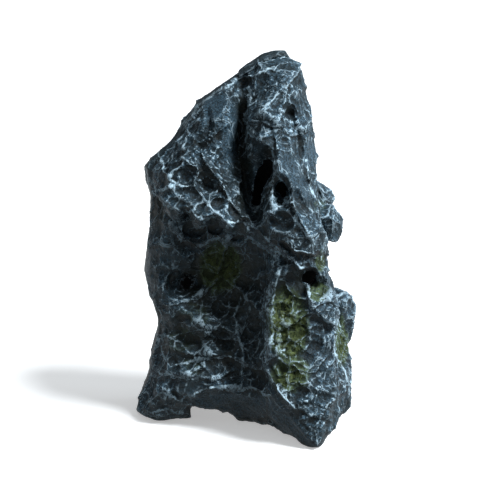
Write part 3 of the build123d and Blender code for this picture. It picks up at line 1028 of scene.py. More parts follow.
def paint_group() -> ShaderGroup:
    """Stone paint: a dark body, a wash in the hollows, painted shade where shade falls, and a pale brush dragged
    over what stands proud.
    """
    inputs = {
        "Tooth": 0.5,
        "Net": 0.0,
        "Deep": shade(0.05, 0.06, 0.06),
        "Body": shade(0.16, 0.20, 0.22),
        "Chalk": shade(0.55, 0.65, 0.72),
        "Line": shade(0.7, 0.8, 0.85),
        "Bloom": 0.5,
        "Brush": 1.0,
    }
    group = ShaderGroup("stone_paint", inputs, {"Color": "Color", "Brushed": "Float"})
    g, start = group.graph, group.start
    place = object_place(g)
    crest, form, hollow, painted_shade = (stored(g, name) for name in ("crest", "form", "hollow", "painted_shade"))
    normal = g.add("ShaderNodeSeparateXYZ", {0: g.add("ShaderNodeNewGeometry").outputs["Normal"]})
    lift = g.remap(normal.outputs["Z"], -0.6, 0.8)
    patchy = g.noise(place, 1 / 13.0, 4.0, 0.6)
    mottle = g.noise(place, 1 / 2.2, 4.0, 0.7)
    grit = g.noise(place, 1 / 0.8, 2.0, 0.8)
    # The body, mottled, with a dark wash in hollows and a painted shade of dark olive where shade falls
    hollows, sunk = g.times(g.remap(hollow, 0.1, 0.8), 0.7), g.times(g.remap(form, 0.45, 0.1), 0.85)
    wash = g.most(hollows, g.times(painted_shade, 0.75), sunk)
    wash = g.math("ADD", wash, g.times(g.less(1.0, g.plus(mottle, grit)), 1.1), clamp=True)
    body = g.mix(wash, start["Body"], start["Deep"])
    body = g.mix(g.times(g.remap(patchy, 0.55, 0.8), 0.3), body, shade(0.10, 0.125, 0.10))
    # Painted shade: the body turns a dark olive where the painted shade lies
    body = g.mix(g.times(painted_shade, 0.6), body, shade(0.085, 0.10, 0.065))
    # A thin bloom over raised, upward and calm faces, laid on as grains
    uneven = g.remap(g.plus(patchy, g.times(mottle, 0.6)), 0.6, 1.0, 0.2, 1.0)
    bloom = g.times(g.remap(form, 0.3, 0.75, 0.25, 1.0), g.remap(lift, 0.1, 0.9, 0.2, 1.0), uneven)
    bloom = g.most(bloom, g.times(g.remap(stored(g, "calm"), 0.1, 0.8), 0.62))
    grains = g.remap(g.noise(place, 1 / 1.1, 3.0, 0.7), 0.4, 0.62)
    # The bloom is thinned where the painted shade lies
    bloom = g.times(bloom, grains, start["Bloom"], g.remap(painted_shade, 0.0, 1.0, 1.0, 0.3))
    # Flecks where the brush caught the stone's tooth, thick along crests and none in hollows
    proud = g.plus(g.times(form, 0.16), g.times(crest, 0.10), g.times(lift, 0.05))
    flecks = g.times(g.remap(g.plus(start["Tooth"], proud), 0.74, 0.82), g.remap(patchy, 0.35, 0.6, 0.25, 0.8))
    # Lines: the net of crests, and the listed strokes, which wander and break
    layered = g.remap(stored(g, "strata"), 0.0, 1.0, 0.85, 0.2)
    net = g.times(start["Net"], g.remap(form, 0.35, 0.6, 0.1, 1.0), layered)
    wander = g.times(g.less(g.noise(place, 1 / 2.6, 4.0, 0.65), 0.5), 4.5)
    edge = g.math("ABSOLUTE", g.plus(stored(g, "edge"), wander))
    breaks = g.remap(g.noise(place, 1 / 3.5, 2.0), 0.4, 0.55, 0.2, 1.0)
    stroke = g.times(g.remap(edge, 0.3, 0.85, 1.0, 0.0), g.remap(stored(g, "stroke"), 0.1, 0.6), breaks)
    # The brush is thinned where the painted shade lies
    brushed = g.times(g.most(net, stroke, flecks), g.remap(painted_shade, 0.0, 1.0, 1.0, 0.55))
    brushed = g.math("MULTIPLY", brushed, start["Brush"], clamp=True)
    pale = g.mix(bloom, body, start["Chalk"])
    g.put(group.end["Color"], g.mix(brushed, pale, start["Line"]))
    g.put(group.end["Brushed"], brushed)
    return group


def moss_group() -> ShaderGroup:
    """A dusting of dry moss colour where the surface stores moss, thick in hollows and thin on crests."""
    inputs = {
        "Color": shade(0.2, 0.2, 0.2),
        "Moss": shade(0.37, 0.44, 0.30),
        "Shade": shade(0.16, 0.195, 0.115),
        "Cover": 1.0,
    }
    group = ShaderGroup("moss_dust", inputs, {"Color": "Color", "Cover": "Float"})
    g, start = group.graph, group.start
    place = object_place(g)
    moss, form, crest = stored(g, "moss"), stored(g, "form"), stored(g, "crest")
    blotch = g.noise(place, 1 / 7.0, 4.0, 0.65)
    dust = g.noise(place, 1 / 0.9, 3.0, 0.7)
    amount = g.remap(g.plus(moss, g.times(g.less(blotch, 0.5), 0.9)), 0.25, 0.85)
    amount = g.times(amount, g.remap(dust, 0.3, 0.6, 0.45, 1.0), g.remap(crest, 0.4, 1.1, 1.0, 0.35))
    amount = g.math("MULTIPLY", amount, start["Cover"], clamp=True)
    green = g.mix(g.remap(g.plus(form, g.less(dust, 0.5)), 0.25, 0.75), start["Shade"], start["Moss"])
    g.put(group.end["Color"], g.mix(amount, start["Color"], green))
    g.put(group.end["Cover"], amount)
    return group


def grain_group() -> ShaderGroup:
    """The fine tooth of cast stone: grains, pits and hair cracks, as a height from 0 to 1."""
    group = ShaderGroup("stone_grain", {"Size": 1.0, "Pits": 0.5}, {"Height": "Float"})
    g, start = group.graph, group.start
    place = g.vector("SCALE", object_place(g), scale=g.math("DIVIDE", 1.0, start["Size"]))
    coarse, fine = g.noise(place, 0.5, 3.0, 0.7), g.noise(place, 0.95, 3.0, 0.75)
    flat = g.remap(g.cells(g.warped(place, 0.8, 0.8), 0.5), 0.1, 0.3)
    pits = g.times(g.less(1.0, flat), start["Pits"])
    g.put(group.end["Height"], g.less(g.plus(g.times(coarse, 0.5), g.times(fine, 0.5)), pits))
    return group


@dataclass
class FinishKit:
    """The shader groups that the finishes share."""

    paint: ShaderGroup = field(default_factory=paint_group)
    net: ShaderGroup = field(default_factory=net_group)
    moss: ShaderGroup = field(default_factory=moss_group)
    grain: ShaderGroup = field(default_factory=grain_group)


def start_material(name: str) -> tuple[bpy.types.Material, Graph, bpy.types.Node]:
    """A new material with its graph and its one shader."""
    material = bpy.data.materials.new(name)
    material.use_nodes = True
    material.node_tree.nodes.clear()
    graph = Graph(material.node_tree)
    shader = graph.add("ShaderNodeBsdfPrincipled")
    graph.put(graph.add("ShaderNodeOutputMaterial").inputs["Surface"], shader.outputs[0])
    return material, graph, shader


def bump(graph: Graph, shader: bpy.types.Node, height: Socket, strength: float, depth: float) -> None:
    """Gives a shader a bump from a height, whose depth is in millimetres."""
    inputs = {"Strength": strength, "Distance": depth * MM, "Height": height}
    graph.put(shader.inputs["Normal"], graph.add("ShaderNodeBump", inputs).outputs[0])


@dataclass(frozen=True)
class StoneFinish:
    """Cast resin painted as slate.

    Attributes:
        name: The material's name.
        deep: Colour of the wash in the hollows and of the painted shade.
        body: Colour of the body.
        chalk: Colour of the pale brush.
        line: Colour of the brush where it is loaded, on crests.
        bloom: How much thin pale bloom lies on raised faces.
        brush: How strongly crests are picked out.
        cover: How much moss dust the paint carries.
        roughness: Roughness of the body.
        tooth: Depth of the fine grain.
    """

    name: str
    deep: Colour = shade(0.04, 0.05, 0.032)
    body: Colour = shade(0.092, 0.140, 0.158)
    chalk: Colour = shade(0.46, 0.62, 0.73)
    line: Colour = shade(0.80, 0.91, 0.97)
    bloom: float = 0.56
    brush: float = 0.9
    cover: float = 1.0
    roughness: float = 0.6
    tooth: float = 1.1

    def build(self, kit: FinishKit) -> bpy.types.Material:
        """Builds the material from the shared groups."""
        material, g, shader = start_material(self.name)
        grain = kit.grain.place(g, {"Size": 1.0, "Pits": 0.3})
        net = kit.net.place(g, {"Width": 1.0})
        colours = {"Deep": self.deep, "Body": self.body, "Chalk": self.chalk, "Line": self.line}
        amounts = {"Tooth": grain["Height"], "Net": net["Line"], "Bloom": self.bloom, "Brush": self.brush}
        paint = kit.paint.place(g, {**colours, **amounts})
        cover = g.remap(paint["Brushed"], 0.0, 1.0, self.cover, 0.2 * self.cover)
        moss = kit.moss.place(g, {"Color": paint["Color"], "Cover": cover})
        inside = g.remap(stored(g, "inside"), 0.3, 0.7)
        cloud = g.noise(object_place(g), 1 / 9.0, 4.0, 0.6)
        raw = g.mix(cloud, shade(0.08, 0.095, 0.10), shade(0.13, 0.15, 0.155))
        g.put(shader.inputs["Base Color"], g.mix(inside, moss["Color"], raw))
        rough = g.plus(g.times(moss["Cover"], 0.3), g.times(paint["Brushed"], 0.15), self.roughness)
        g.put(shader.inputs["Roughness"], rough)
        shader.inputs["Specular IOR Level"].default_value = 0.22
        bump(g, shader, grain["Height"], 0.9, self.tooth)
        return material


@dataclass(frozen=True)
class MossFinish:
    """Dry flock that stands for moss: yellow-green tips over an olive ground.

    Attributes:
        name: The material's name.
        tip: Colour of the tips.
        ground: Colour between them.
        line: Colour of the crests that were brushed over the flock.
    """

    name: str = "dry_moss"
    tip: Colour = shade(0.375, 0.425, 0.265)
    ground: Colour = shade(0.20, 0.235, 0.15)
    line: Colour = shade(0.70, 0.80, 0.82)

    def build(self, kit: FinishKit) -> bpy.types.Material:
        """Builds the material from the shared groups."""
        material, g, shader = start_material(self.name)
        place = object_place(g)
        tuft = g.noise(place, 1 / 1.1, 3.0, 0.7)
        blotch = g.noise(place, 1 / 8.0, 3.0, 0.6)
        green = g.mix(g.remap(g.plus(g.times(tuft, 0.6), g.times(blotch, 0.4)), 0.38, 0.6), self.ground, self.tip)
        grey = g.times(g.remap(g.noise(place, 1 / 2.6, 3.0, 0.7), 0.55, 0.72), 0.55)
        dusty = g.mix(grey, green, shade(0.30, 0.34, 0.31))
        grain = kit.grain.place(g, {"Size": 1.0, "Pits": 0.3})
        net = kit.net.place(g, {"Width": 1.0})
        paint = kit.paint.place(g, {"Tooth": grain["Height"], "Net": net["Line"]})
        g.put(shader.inputs["Base Color"], g.mix(g.times(paint["Brushed"], 0.8), dusty, self.line))
        g.put(shader.inputs["Roughness"], g.remap(tuft, 0.3, 0.7, 0.85, 0.97))
        shader.inputs["Specular IOR Level"].default_value = 0.15
        bump(g, shader, g.noise(place, 1 / 0.5, 3.0, 0.7), 1.0, 0.4)
        return material


@dataclass(frozen=True)
class RubberFinish:
    """Soft black rubber of the foot pads."""

    name: str = "soft_rubber"

    def build(self) -> bpy.types.Material:
        """Builds the material."""
        material, g, shader = start_material(self.name)
        place = object_place(g)
        dusty = g.noise(place, 1 / 2.0, 4.0, 0.6)
        worn = g.mix(g.remap(dusty, 0.45, 0.75), shade(0.07, 0.07, 0.07), shade(0.16, 0.16, 0.16))
        g.put(shader.inputs["Base Color"], worn)
        g.put(shader.inputs["Roughness"], g.remap(dusty, 0.3, 0.7, 0.6, 0.85))
        bump(g, shader, g.noise(place, 1 / 0.3, 2.0, 0.6), 0.5, 0.1)
        return material


@dataclass(frozen=True)
class BackdropFinish:
    """Plain pale paper."""

    name: str
    tone: float
    glow: float = 0.4

    def build(self) -> bpy.types.Material:
        """Builds the material."""
        material, _, shader = start_material(self.name)
        shader.inputs["Base Color"].default_value = (self.tone, self.tone, self.tone, 1.0)
        shader.inputs["Roughness"].default_value = 0.9
        shader.inputs["Specular IOR Level"].default_value = 0.1
        shader.inputs["Emission Color"].default_value = (1.0, 1.0, 1.0, 1.0)
        shader.inputs["Emission Strength"].default_value = self.glow
        return material


# ---------------------------------------------------------------------------------------------------
# The rock and its castings
# ---------------------------------------------------------------------------------------------------


@dataclass(frozen=True)
class Face:
    """One side of a cutting block.

    Attributes:
        point: A point on it, in millimetres.
        outward: The direction out of the block.
    """

    point: tuple[float, float, float]
    outward: tuple[float, float, float]

    def moved(self, amount: float) -> "Face":
        """The face moved outwards."""
        point = tuple(p + amount * n for p, n in zip(self.point, self.outward))
        return Face(point, self.outward)

    def turned(self) -> "Face":
        """The face seen from its other side."""
        return Face(self.point, tuple(-n for n in self.outward))


def block(name: str, faces: tuple[Face, ...]) -> bpy.types.Object:
    """A block bounded by some faces, for parting a piece.

    Args:
        name: Name of its object.
        faces: Its sides. Where it has none, it ends far outside the rock.

    Returns:
        The object.
    """
    shape = bmesh.new()
    bmesh.ops.create_cube(shape, size=CUTTER_SIZE * MM)
    for face in faces:
        everything = shape.verts[:] + shape.edges[:] + shape.faces[:]
        cut = bmesh.ops.bisect_plane(
            shape,
            geom=everything,
            dist=1e-7,
            plane_co=Vector(face.point) * MM,
            plane_no=Vector(face.outward),
            clear_outer=True,
        )
        rim = [item for item in cut["geom_cut"] if isinstance(item, bmesh.types.BMEdge)]
        bmesh.ops.contextual_create(shape, geom=rim)
    bmesh.ops.recalc_face_normals(shape, faces=shape.faces)
    mesh = bpy.data.meshes.new(name)
    shape.to_mesh(mesh)
    shape.free()
    return new_object(name, mesh)


def parted(whole: bpy.types.Object, faces: tuple[Face, ...], name: str) -> bpy.types.Object:
    """The part of a piece inside a block.

    Args:
        whole: The piece.
        faces: The block's sides.
        name: Name of the new piece.

    Returns:
        The new piece.
    """
    cutter = block(name + "_cutter", faces)
    piece = new_object(name, whole.data.copy())
    modifier = piece.modifiers.new("part", "BOOLEAN")
    modifier.operation, modifier.solver, modifier.object = "INTERSECT", "MANIFOLD", cutter
    keep_result(piece)
    bpy.data.objects.remove(cutter)
    return piece


@dataclass
class Planes:
    """Where the castings meet, from the boxes of their epoxy lines.

    Attributes:
        bond: Thickness of the epoxy.
        joint_height: Height of the joint between the storeys on the upright axis.
        joint_tilt: Degrees that the joint drops to the right.
    """

    bond: float = 1.0
    joint_height: float = 131.363
    joint_tilt: float = 15.0

    def __post_init__(self) -> None:
        """Sets up the three planes and the ground."""
        (_, low_y, low_z), (_, high_y, _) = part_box("plinth_seam")
        (low_x, _, _), (high_x, _, _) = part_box("buttress_bond")
        tilt = math.radians(self.joint_tilt)
        self.joint = Face((0.0, 0.0, self.joint_height), (math.sin(tilt), 0.0, math.cos(tilt)))
        self.seam = Face((0.0, 0.5 * (low_y + high_y) / MM, 0.0), (0.0, 1.0, 0.0))
        self.buttress = Face((0.5 * (low_x + high_x) / MM, 0.0, 0.0), (1.0, 0.0, 0.0))
        self.ground = Face((0.0, 0.0, low_z / MM), (0.0, 0.0, -1.0))

    def blocks(self) -> dict[str, tuple[Face, ...]]:
        """The block of each casting and of each epoxy line, by the node's name."""
        half = self.bond / 2
        below, above = self.joint.moved(-half), self.joint.moved(half).turned()
        front, rear = self.seam.moved(-half), self.seam.moved(half).turned()
        left, right = self.buttress.moved(-half), self.buttress.moved(half).turned()
        on_seam = (self.seam.moved(half), self.seam.moved(-half).turned())
        return {
            "front_panel": (self.ground, below, front, left),
            "buttress": (self.ground, below, front, right),
            "rear_panel": (self.ground, below, rear),
            "crag_front": (above, front),
            "crag_rear": (above, rear),
            "crag_bond": (self.joint.moved(half), self.joint.moved(-half).turned()),
            "plinth_seam": (self.ground, below, *on_seam),
            "crag_seam": (above, *on_seam),
            "buttress_bond": (
                self.ground,
                below,
                front,
                self.buttress.moved(half),
                self.buttress.moved(-half).turned(),
            ),
        }


CASTINGS = ("front_panel", "buttress", "rear_panel", "crag_front", "crag_rear")
BONDS = ("crag_bond", "plinth_seam", "crag_seam", "buttress_bond")


@dataclass
class CarvedRock:
    """The hollow rock as one skin, carved and then parted into castings and epoxy lines.

    Attributes:
        rough_cell: Cell of the first mesh, which takes the listed marks.
        cell: Cell of the mesh that takes the relief.
        rounding: Rounds of averaging that soften the facets.
        wall_spare: Depth of a mark that the wall takes before its inner face moves too.
        wander: Share of the drift by which the front's edges and windows wander.
        foot: Radius round each pad that stays true.
        mark_drift: Share of the drift by which marks and brushed lines wander.
        stroke: Distance from a brushed line within which paint may lie.
        ridge_height: Height of the crest under a brushed line.
        ridge_reach: Half width of that crest.
        rear_carve: Share of the relief that the rear castings take.
        rim_calm: Share of the relief that the edge of the rear castings loses on the left.
        wall_calm: Share of the relief that the walls of the cave lose.
        ground_carve: Share of the relief that is left at the ground.
        relief: Sizes of the relief.
        planes: Where the castings meet.
        tree: The relief's tree.
        drift: The tree that stores the drift.
    """

    relief: Relief
    tree: bpy.types.NodeTree
    drift: bpy.types.NodeTree
    planes: Planes = field(default_factory=Planes)
    rough_cell: float = 0.9
    cell: float = 0.75
    rounding: int = 70
    wall_spare: float = 2.0
    wander: float = 0.6
    foot: float = 6.0
    mark_drift: float = 0.6
    stroke: float = 2.0
    ridge_height: float = 1.3
    ridge_reach: float = 3.0
    rear_carve: float = 0.75
    rim_calm: float = 0.7
    wall_calm: float = 0.85
    ground_carve: float = 0.25

    def build(self) -> dict[str, bpy.types.Object]:
        """Makes every casting and epoxy line.

        Returns:
            The pieces by the name of the node that each stands for.
        """
        rock = merged_copy(CASTINGS + BONDS, "whole_rock")
        voxel_remesh(rock, self.rough_cell)
        self.soften(rock)
        self.carve_marks(rock)
        voxel_remesh(rock, self.cell)
        self.store_carve(rock)
        self.relief.apply(rock, self.tree)
        fit_to_solids(rock.data)
        WearMasks().store(rock, spread=(0.75 / self.cell) ** 2)
        self.store_moss(rock)
        pieces = {name: parted(rock, faces, name + "_cast") for name, faces in self.planes.blocks().items()}
        bpy.data.objects.remove(rock)
        return pieces

    def inside_share(self, places: np.ndarray, normals: np.ndarray) -> np.ndarray:
        """How far each point belongs to the wall of the cave, from 0 to 1."""
        best = np.full(len(places), 1e9)
        towards = np.zeros_like(places)
        for opening in frame["record"]["physics"]["openings"]:
            if opening["name"] not in ("plinth_cave", "crag_chamber", "buttress_pocket", "left_shoulder"):
                continue
            low, high = (np.array(corner) / MM for corner in opening["box_m"])
            offset = np.clip(places, low, high) - places
            length = np.linalg.norm(offset, axis=1)
            nearer = length < best
            best = np.where(nearer, length, best)
            towards[nearer] = offset[nearer] / np.maximum(length[nearer], 1e-6)[:, None]
        return smooth(0.1, 0.45, dots(normals, towards))

    def loosened(self, places: np.ndarray, low: float, high: float) -> np.ndarray:
        """How freely each point may move: not at all in the feet around the pads.

        Args:
            places: Points in millimetres.
            low: Distance from a foot within which points stay.
            high: Distance from every foot beyond which points are free.

        Returns:
            A share from 0 to 1 for each point.
        """
        nearest = np.full(len(places), 1e9)
        for name in frame["nodes"]:
            if not name.startswith("pad_"):
                continue
            (x0, y0, _), (x1, y1, _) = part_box(name)
            middle = np.array([x0 + x1, y0 + y1]) / 2 / MM
            aside = np.maximum(np.hypot(*(places[:, :2] - middle).T) - self.foot, 0.0)
            above = np.maximum(places[:, 2] - self.planes.ground.point[2] - 1.5, 0.0)
            nearest = np.minimum(nearest, np.hypot(aside, above))
        return smooth(low, high, nearest)

    def soften(self, rock: bpy.types.Object) -> None:
        """Rounds the facets, except in the feet."""
        places = places_of(rock.data)
        soft = averaged(places, edges_of(rock.data), self.rounding)
        weight = self.loosened(places, 0.5, 6.0)[:, None]
        move_points(rock.data, places + (soft - places) * weight)

    def wandering(self, rock: bpy.types.Object) -> tuple[np.ndarray, np.ndarray, np.ndarray]:
        """Where points lie in the front view once the drift has moved them.

        Args:
            rock: The rock, which takes the drift as a stored vector.

        Returns:
            Millimetres across, millimetres up, and the drift of each point.
        """
        run_tree(rock, self.drift, {})
        across, up, _ = VIEW.spread(places_of(rock.data))
        drift = read_vectors(rock.data, "drift")
        return across + self.mark_drift * drift[:, 0], up + self.mark_drift * drift[:, 2], drift

    def carve_marks(self, rock: bpy.types.Object) -> None:
        """Carves the listed marks into the front, and carries the wall behind a deep one with it."""
        across, up, drift = self.wandering(rock)
        places, normals = places_of(rock.data), normals_of(rock.data)
        towards = VIEW.spread(places)[2]
        facing = dots(normals, towards)
        crests = tuple(Mark(Tool.RIDGE, points, self.ridge_height, self.ridge_reach) for points in STROKES)
        height = sum(mark.height(across, up) for mark in CRAG_MARKS + PLINTH_MARKS)
        height = height + sum(crest.height(across, up) for crest in crests)
        inside = self.inside_share(places, normals)
        outer = height * smooth(0.02, 0.35, facing) * (1.0 - inside)
        inner = np.minimum(height + self.wall_spare, 0.0) * smooth(0.0, 0.3, -facing) * inside
        grounded = self.loosened(places, 0.5, 4.0)[:, None]
        moved = places + towards * (outer + inner)[:, None] * grounded
        in_front = smooth(20.0, 5.0, places[:, 1])[:, None]
        for pull in PULLS:
            way = np.array([pull.way[0], 0.0, pull.way[1]])
            moved = moved + way * (pull.share(across, up)[:, None] * grounded * in_front)
        move_points(rock.data, moved + drift * (self.wander * grounded * in_front))

    def store_carve(self, rock: bpy.types.Object) -> None:
        """Stores how far the relief may move each point, the kinds of ground, the painted shade, and the points of
        the cave's wall.

        It also stores the brushed lines: "edge" is the distance to the nearest one, negative on its right,
        and "stroke" is 1 beside it and 0 away from it.

        Args:
            rock: The rock.
        """
        lines_across, lines_up, _ = self.wandering(rock)
        mesh = rock.data
        places, normals = places_of(mesh), normals_of(mesh)
        across, up, towards = VIEW.spread(places)
        in_view = smooth(-0.1, 0.25, dots(normals, towards))
        for zone in (Zone.STRATA, Zone.PUMICE, Zone.PAINTED_SHADE, Zone.CALM):
            write_values(mesh, zone.value, zone_value(zone, across, up) * in_view)
        lines = [line_distance(points, lines_across, lines_up) for points in STROKES]
        reach, side = lines[0]
        for distance, turn in lines[1:]:
            side = np.where(distance < reach, turn, side)
            reach = np.minimum(reach, distance)
        write_values(mesh, "edge", np.clip(reach, 0.0, EDGE_REACH) * side)
        write_values(mesh, "stroke", smooth(self.stroke, 0.4 * self.stroke, reach) * in_view)
        inside = self.inside_share(places, normals)
        behind = places[:, 1] - self.planes.seam.point[1]
        rear = smooth(-1.0, 3.0, behind)
        rim = rear * smooth(16.0, 6.0, behind) * smooth(30.0, 5.0, places[:, 0])
        carve = 1.0 - zone_value(Zone.CALM, across, up) * in_view
        carve = carve * (1.0 - rear * (1.0 - self.rear_carve)) * (1.0 - self.rim_calm * rim)
        carve = carve * (1.0 - self.wall_calm * inside) * self.loosened(places, 0.5, 4.0)
        risen = smooth(1.0, 10.0, places[:, 2] - self.planes.ground.point[2])
        write_values(mesh, "carve", carve * (self.ground_carve + (1.0 - self.ground_carve) * risen))
        write_values(mesh, "inside", inside)

    def store_moss(self, rock: bpy.types.Object) -> None:
        """Stores where moss has settled: from listed patches in front, and in the lower hollows at the sides and
        back.
        """
        mesh = rock.data
        places, normals = places_of(mesh), normals_of(mesh)
        across, up, towards = VIEW.spread(places)
        moss = zone_value(Zone.MOSS, across, up) * smooth(-0.1, 0.2, dots(normals, towards))
        hollow = read_values(mesh, "hollow")
        low_down = smooth(120.0, 60.0, places[:, 2]) * smooth(25.0, 45.0, places[:, 1])
        moss = np.maximum(moss, 0.7 * low_down * smooth(0.2, 0.8, hollow))
        write_values(mesh, "moss", moss * (1.0 - read_values(mesh, "inside")))


# ---------------------------------------------------------------------------------------------------
# Stones
# ---------------------------------------------------------------------------------------------------


@dataclass
class BondedStone:
    """A stone bonded to the rock, from its solid, with the rock's own relief running over it.

    Attributes:
        node: The solid that it stands for.
        relief: Sizes of its relief.
        tree: The relief's tree.
        growth: How far its skin grows, so that it beds into the rock's relief.
        stretch: How much longer it is made along each axis.
        shift: How far it is moved.
        cell: Cell of its mesh.
        rounding: Rounds of averaging that soften it.
    """

    node: str
    relief: Relief
    tree: bpy.types.NodeTree
    growth: float = 0.8
    stretch: tuple[float, float, float] = (1.0, 1.0, 1.0)
    shift: tuple[float, float, float] = (0.0, 0.0, 0.0)
    cell: float = 0.6
    rounding: int = 14

    def build(self) -> bpy.types.Object:
        """Makes the stone."""
        stone = merged_copy((self.node,), self.node + "_stone")
        voxel_remesh(stone, self.cell)
        mesh = stone.data
        soft = averaged(places_of(mesh), edges_of(mesh), self.rounding)
        move_points(mesh, soft)
        grown = soft + normals_of(mesh) * self.growth
        middle = grown.mean(axis=0)
        move_points(mesh, middle + (grown - middle) * np.array(self.stretch) + np.array(self.shift))
        across, up, _ = VIEW.spread(places_of(mesh))
        for zone in (Zone.STRATA, Zone.PUMICE, Zone.PAINTED_SHADE, Zone.MOSS):
            write_values(mesh, zone.value, zone_value(zone, across, up))
        for name, value in (("stroke", 0.0), ("edge", EDGE_REACH), ("carve", 1.0), ("inside", 0.0)):
            write_values(mesh, name, np.full(len(mesh.vertices), value))
        self.relief.apply(stone, self.tree)
        fit_to_solids(stone.data)
        WearMasks().store(stone, spread=(0.75 / self.cell) ** 2)
        return stone


# ---------------------------------------------------------------------------------------------------
# Moss
# ---------------------------------------------------------------------------------------------------


@dataclass
class MossPad:
    """A pad of flock on a casting: a thin felt that follows the relief, set with small tufts.

    Attributes:
        node: The solid that it stands for.
        casting: The casting that carries it.
        tree: The tree that sets the tufts.
        material: Its finish.
        limit: Least stored moss where the felt lies.
        felt: Thickness of the felt.
        tuft: Length of a tuft.
        spacing: Area of each tuft in square millimetres.
    """

    node: str
    casting: bpy.types.Object
    tree: bpy.types.NodeTree
    material: bpy.types.Material
    limit: float = 0.9
    felt: float = 0.45
    tuft: float = 0.9
    spacing: float = 1.6

    def build(self) -> bpy.types.Object:
        """Makes the pad."""
        piece = new_object(self.node + "_flock", self.felt_mesh())
        modifier = piece.modifiers.new("felt", "SOLIDIFY")
        modifier.thickness, modifier.offset = self.felt * MM, 0.6
        keep_result(piece)
        values = {"Length": self.tuft * MM, "Density": 1e6 / self.spacing, "Finish": self.material}
        run_tree(piece, self.tree, values)
        return piece

    def felt_mesh(self) -> bpy.types.Mesh:
        """The casting's faces that lie under the felt."""
        shape = bmesh.new()
        shape.from_mesh(self.casting.data)
        layer = shape.verts.layers.float["moss"]
        low, high = (np.array(corner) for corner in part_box(self.node))
        low, high = low - 6 * MM, high + 6 * MM
        bare = [
            face for face in shape.faces
            if min(vert[layer] + self.fray(vert.co) for vert in face.verts) < self.limit
            or not all(low[k] < face.calc_center_median()[k] < high[k] for k in range(3))
        ]
        bmesh.ops.delete(shape, geom=bare, context="FACES")
        self.drop_scraps(shape)
        mesh = bpy.data.meshes.new(self.node + "_felt")
        shape.to_mesh(mesh)
        shape.free()
        return mesh

    @staticmethod
    def fray(place: Vector) -> float:
        """Noise that frays the felt's edge and opens holes in it."""
        near = place / MM
        return 0.55 * noise.noise(near / 7.0) + 0.45 * noise.noise(near / 2.6)

    @staticmethod
    def drop_scraps(shape: bmesh.types.BMesh) -> None:
        """Removes points where two patches only touch, and patches of a few faces."""
        pinched = [v for v in shape.verts if sum(edge.is_boundary for edge in v.link_edges) > 2]
        bmesh.ops.delete(shape, geom=pinched, context="VERTS")
        seen: set[bmesh.types.BMFace] = set()
        scraps: list[bmesh.types.BMFace] = []
        for face in shape.faces:
            if face in seen:
                continue
            island, stack = [], [face]
            seen.add(face)
            while stack:
                here = stack.pop()
                island.append(here)
                for edge in here.edges:
                    for other in edge.link_faces:
                        if other not in seen:
                            seen.add(other)
                            stack.append(other)
            if len(island) < LEAST_FELT:
                scraps.extend(island)
        bmesh.ops.delete(shape, geom=scraps, context="FACES")
        bmesh.ops.delete(shape, geom=[v for v in shape.verts if not v.link_faces], context="VERTS")


def tuft_tree(material: bpy.types.Material) -> bpy.types.NodeTree:
    """The tree that sets small leaning tufts over a felt and gives both the finish."""
    graph, start, end = geometry_tree("moss_tufts", {"Length": 0.001, "Density": 1000.0, "Finish": material})
    felt = start.outputs["Geometry"]
    inputs = {"Mesh": felt, "Density": start.outputs["Density"], "Seed": 7}
    scatter = graph.add("GeometryNodeDistributePointsOnFaces", inputs, distribute_method="RANDOM").outputs
    sizes = {"Vertices": 4, "Side Segments": 1, "Fill Segments": 1, "Radius Top": 0.08, "Radius Bottom": 0.34}
    tuft = graph.add("GeometryNodeMeshCone", {**sizes, "Depth": 1.0}, fill_type="TRIANGLE_FAN")
    ends = {0: (-0.5, -0.5, -3.1), 1: (0.5, 0.5, 3.1)}
    lean = graph.add("FunctionNodeRandomValue", ends, data_type="FLOAT_VECTOR")
    inputs = {0: scatter["Rotation"], 1: lean.outputs[0]}
    turn = graph.add("FunctionNodeRotateRotation", inputs, rotation_space="LOCAL")
    size = graph.add("FunctionNodeRandomValue", {2: 0.45, 3: 1.0, "Seed": 3}, data_type="FLOAT")
    scale = graph.times(size.outputs[1], start.outputs["Length"])
    where = {"Points": scatter["Points"], "Instance": tuft.outputs["Mesh"]}
    instance = graph.add("GeometryNodeInstanceOnPoints", {**where, "Rotation": turn.outputs[0], "Scale": scale})
    join = graph.add("GeometryNodeJoinGeometry", {0: felt})
    graph.put(join.inputs[0], instance.outputs[0])
    close_tree(graph, join.outputs[0], start, end)
    return graph.tree


# ---------------------------------------------------------------------------------------------------
# The ornament
# ---------------------------------------------------------------------------------------------------


class Slot(Enum):
    """Material slots of the record."""

    SLATE = "slate_resin"
    BARE = "bare_resin"
    EPOXY = "epoxy"
    MOSS = "moss_flock"
    PAD = "foot_pad"


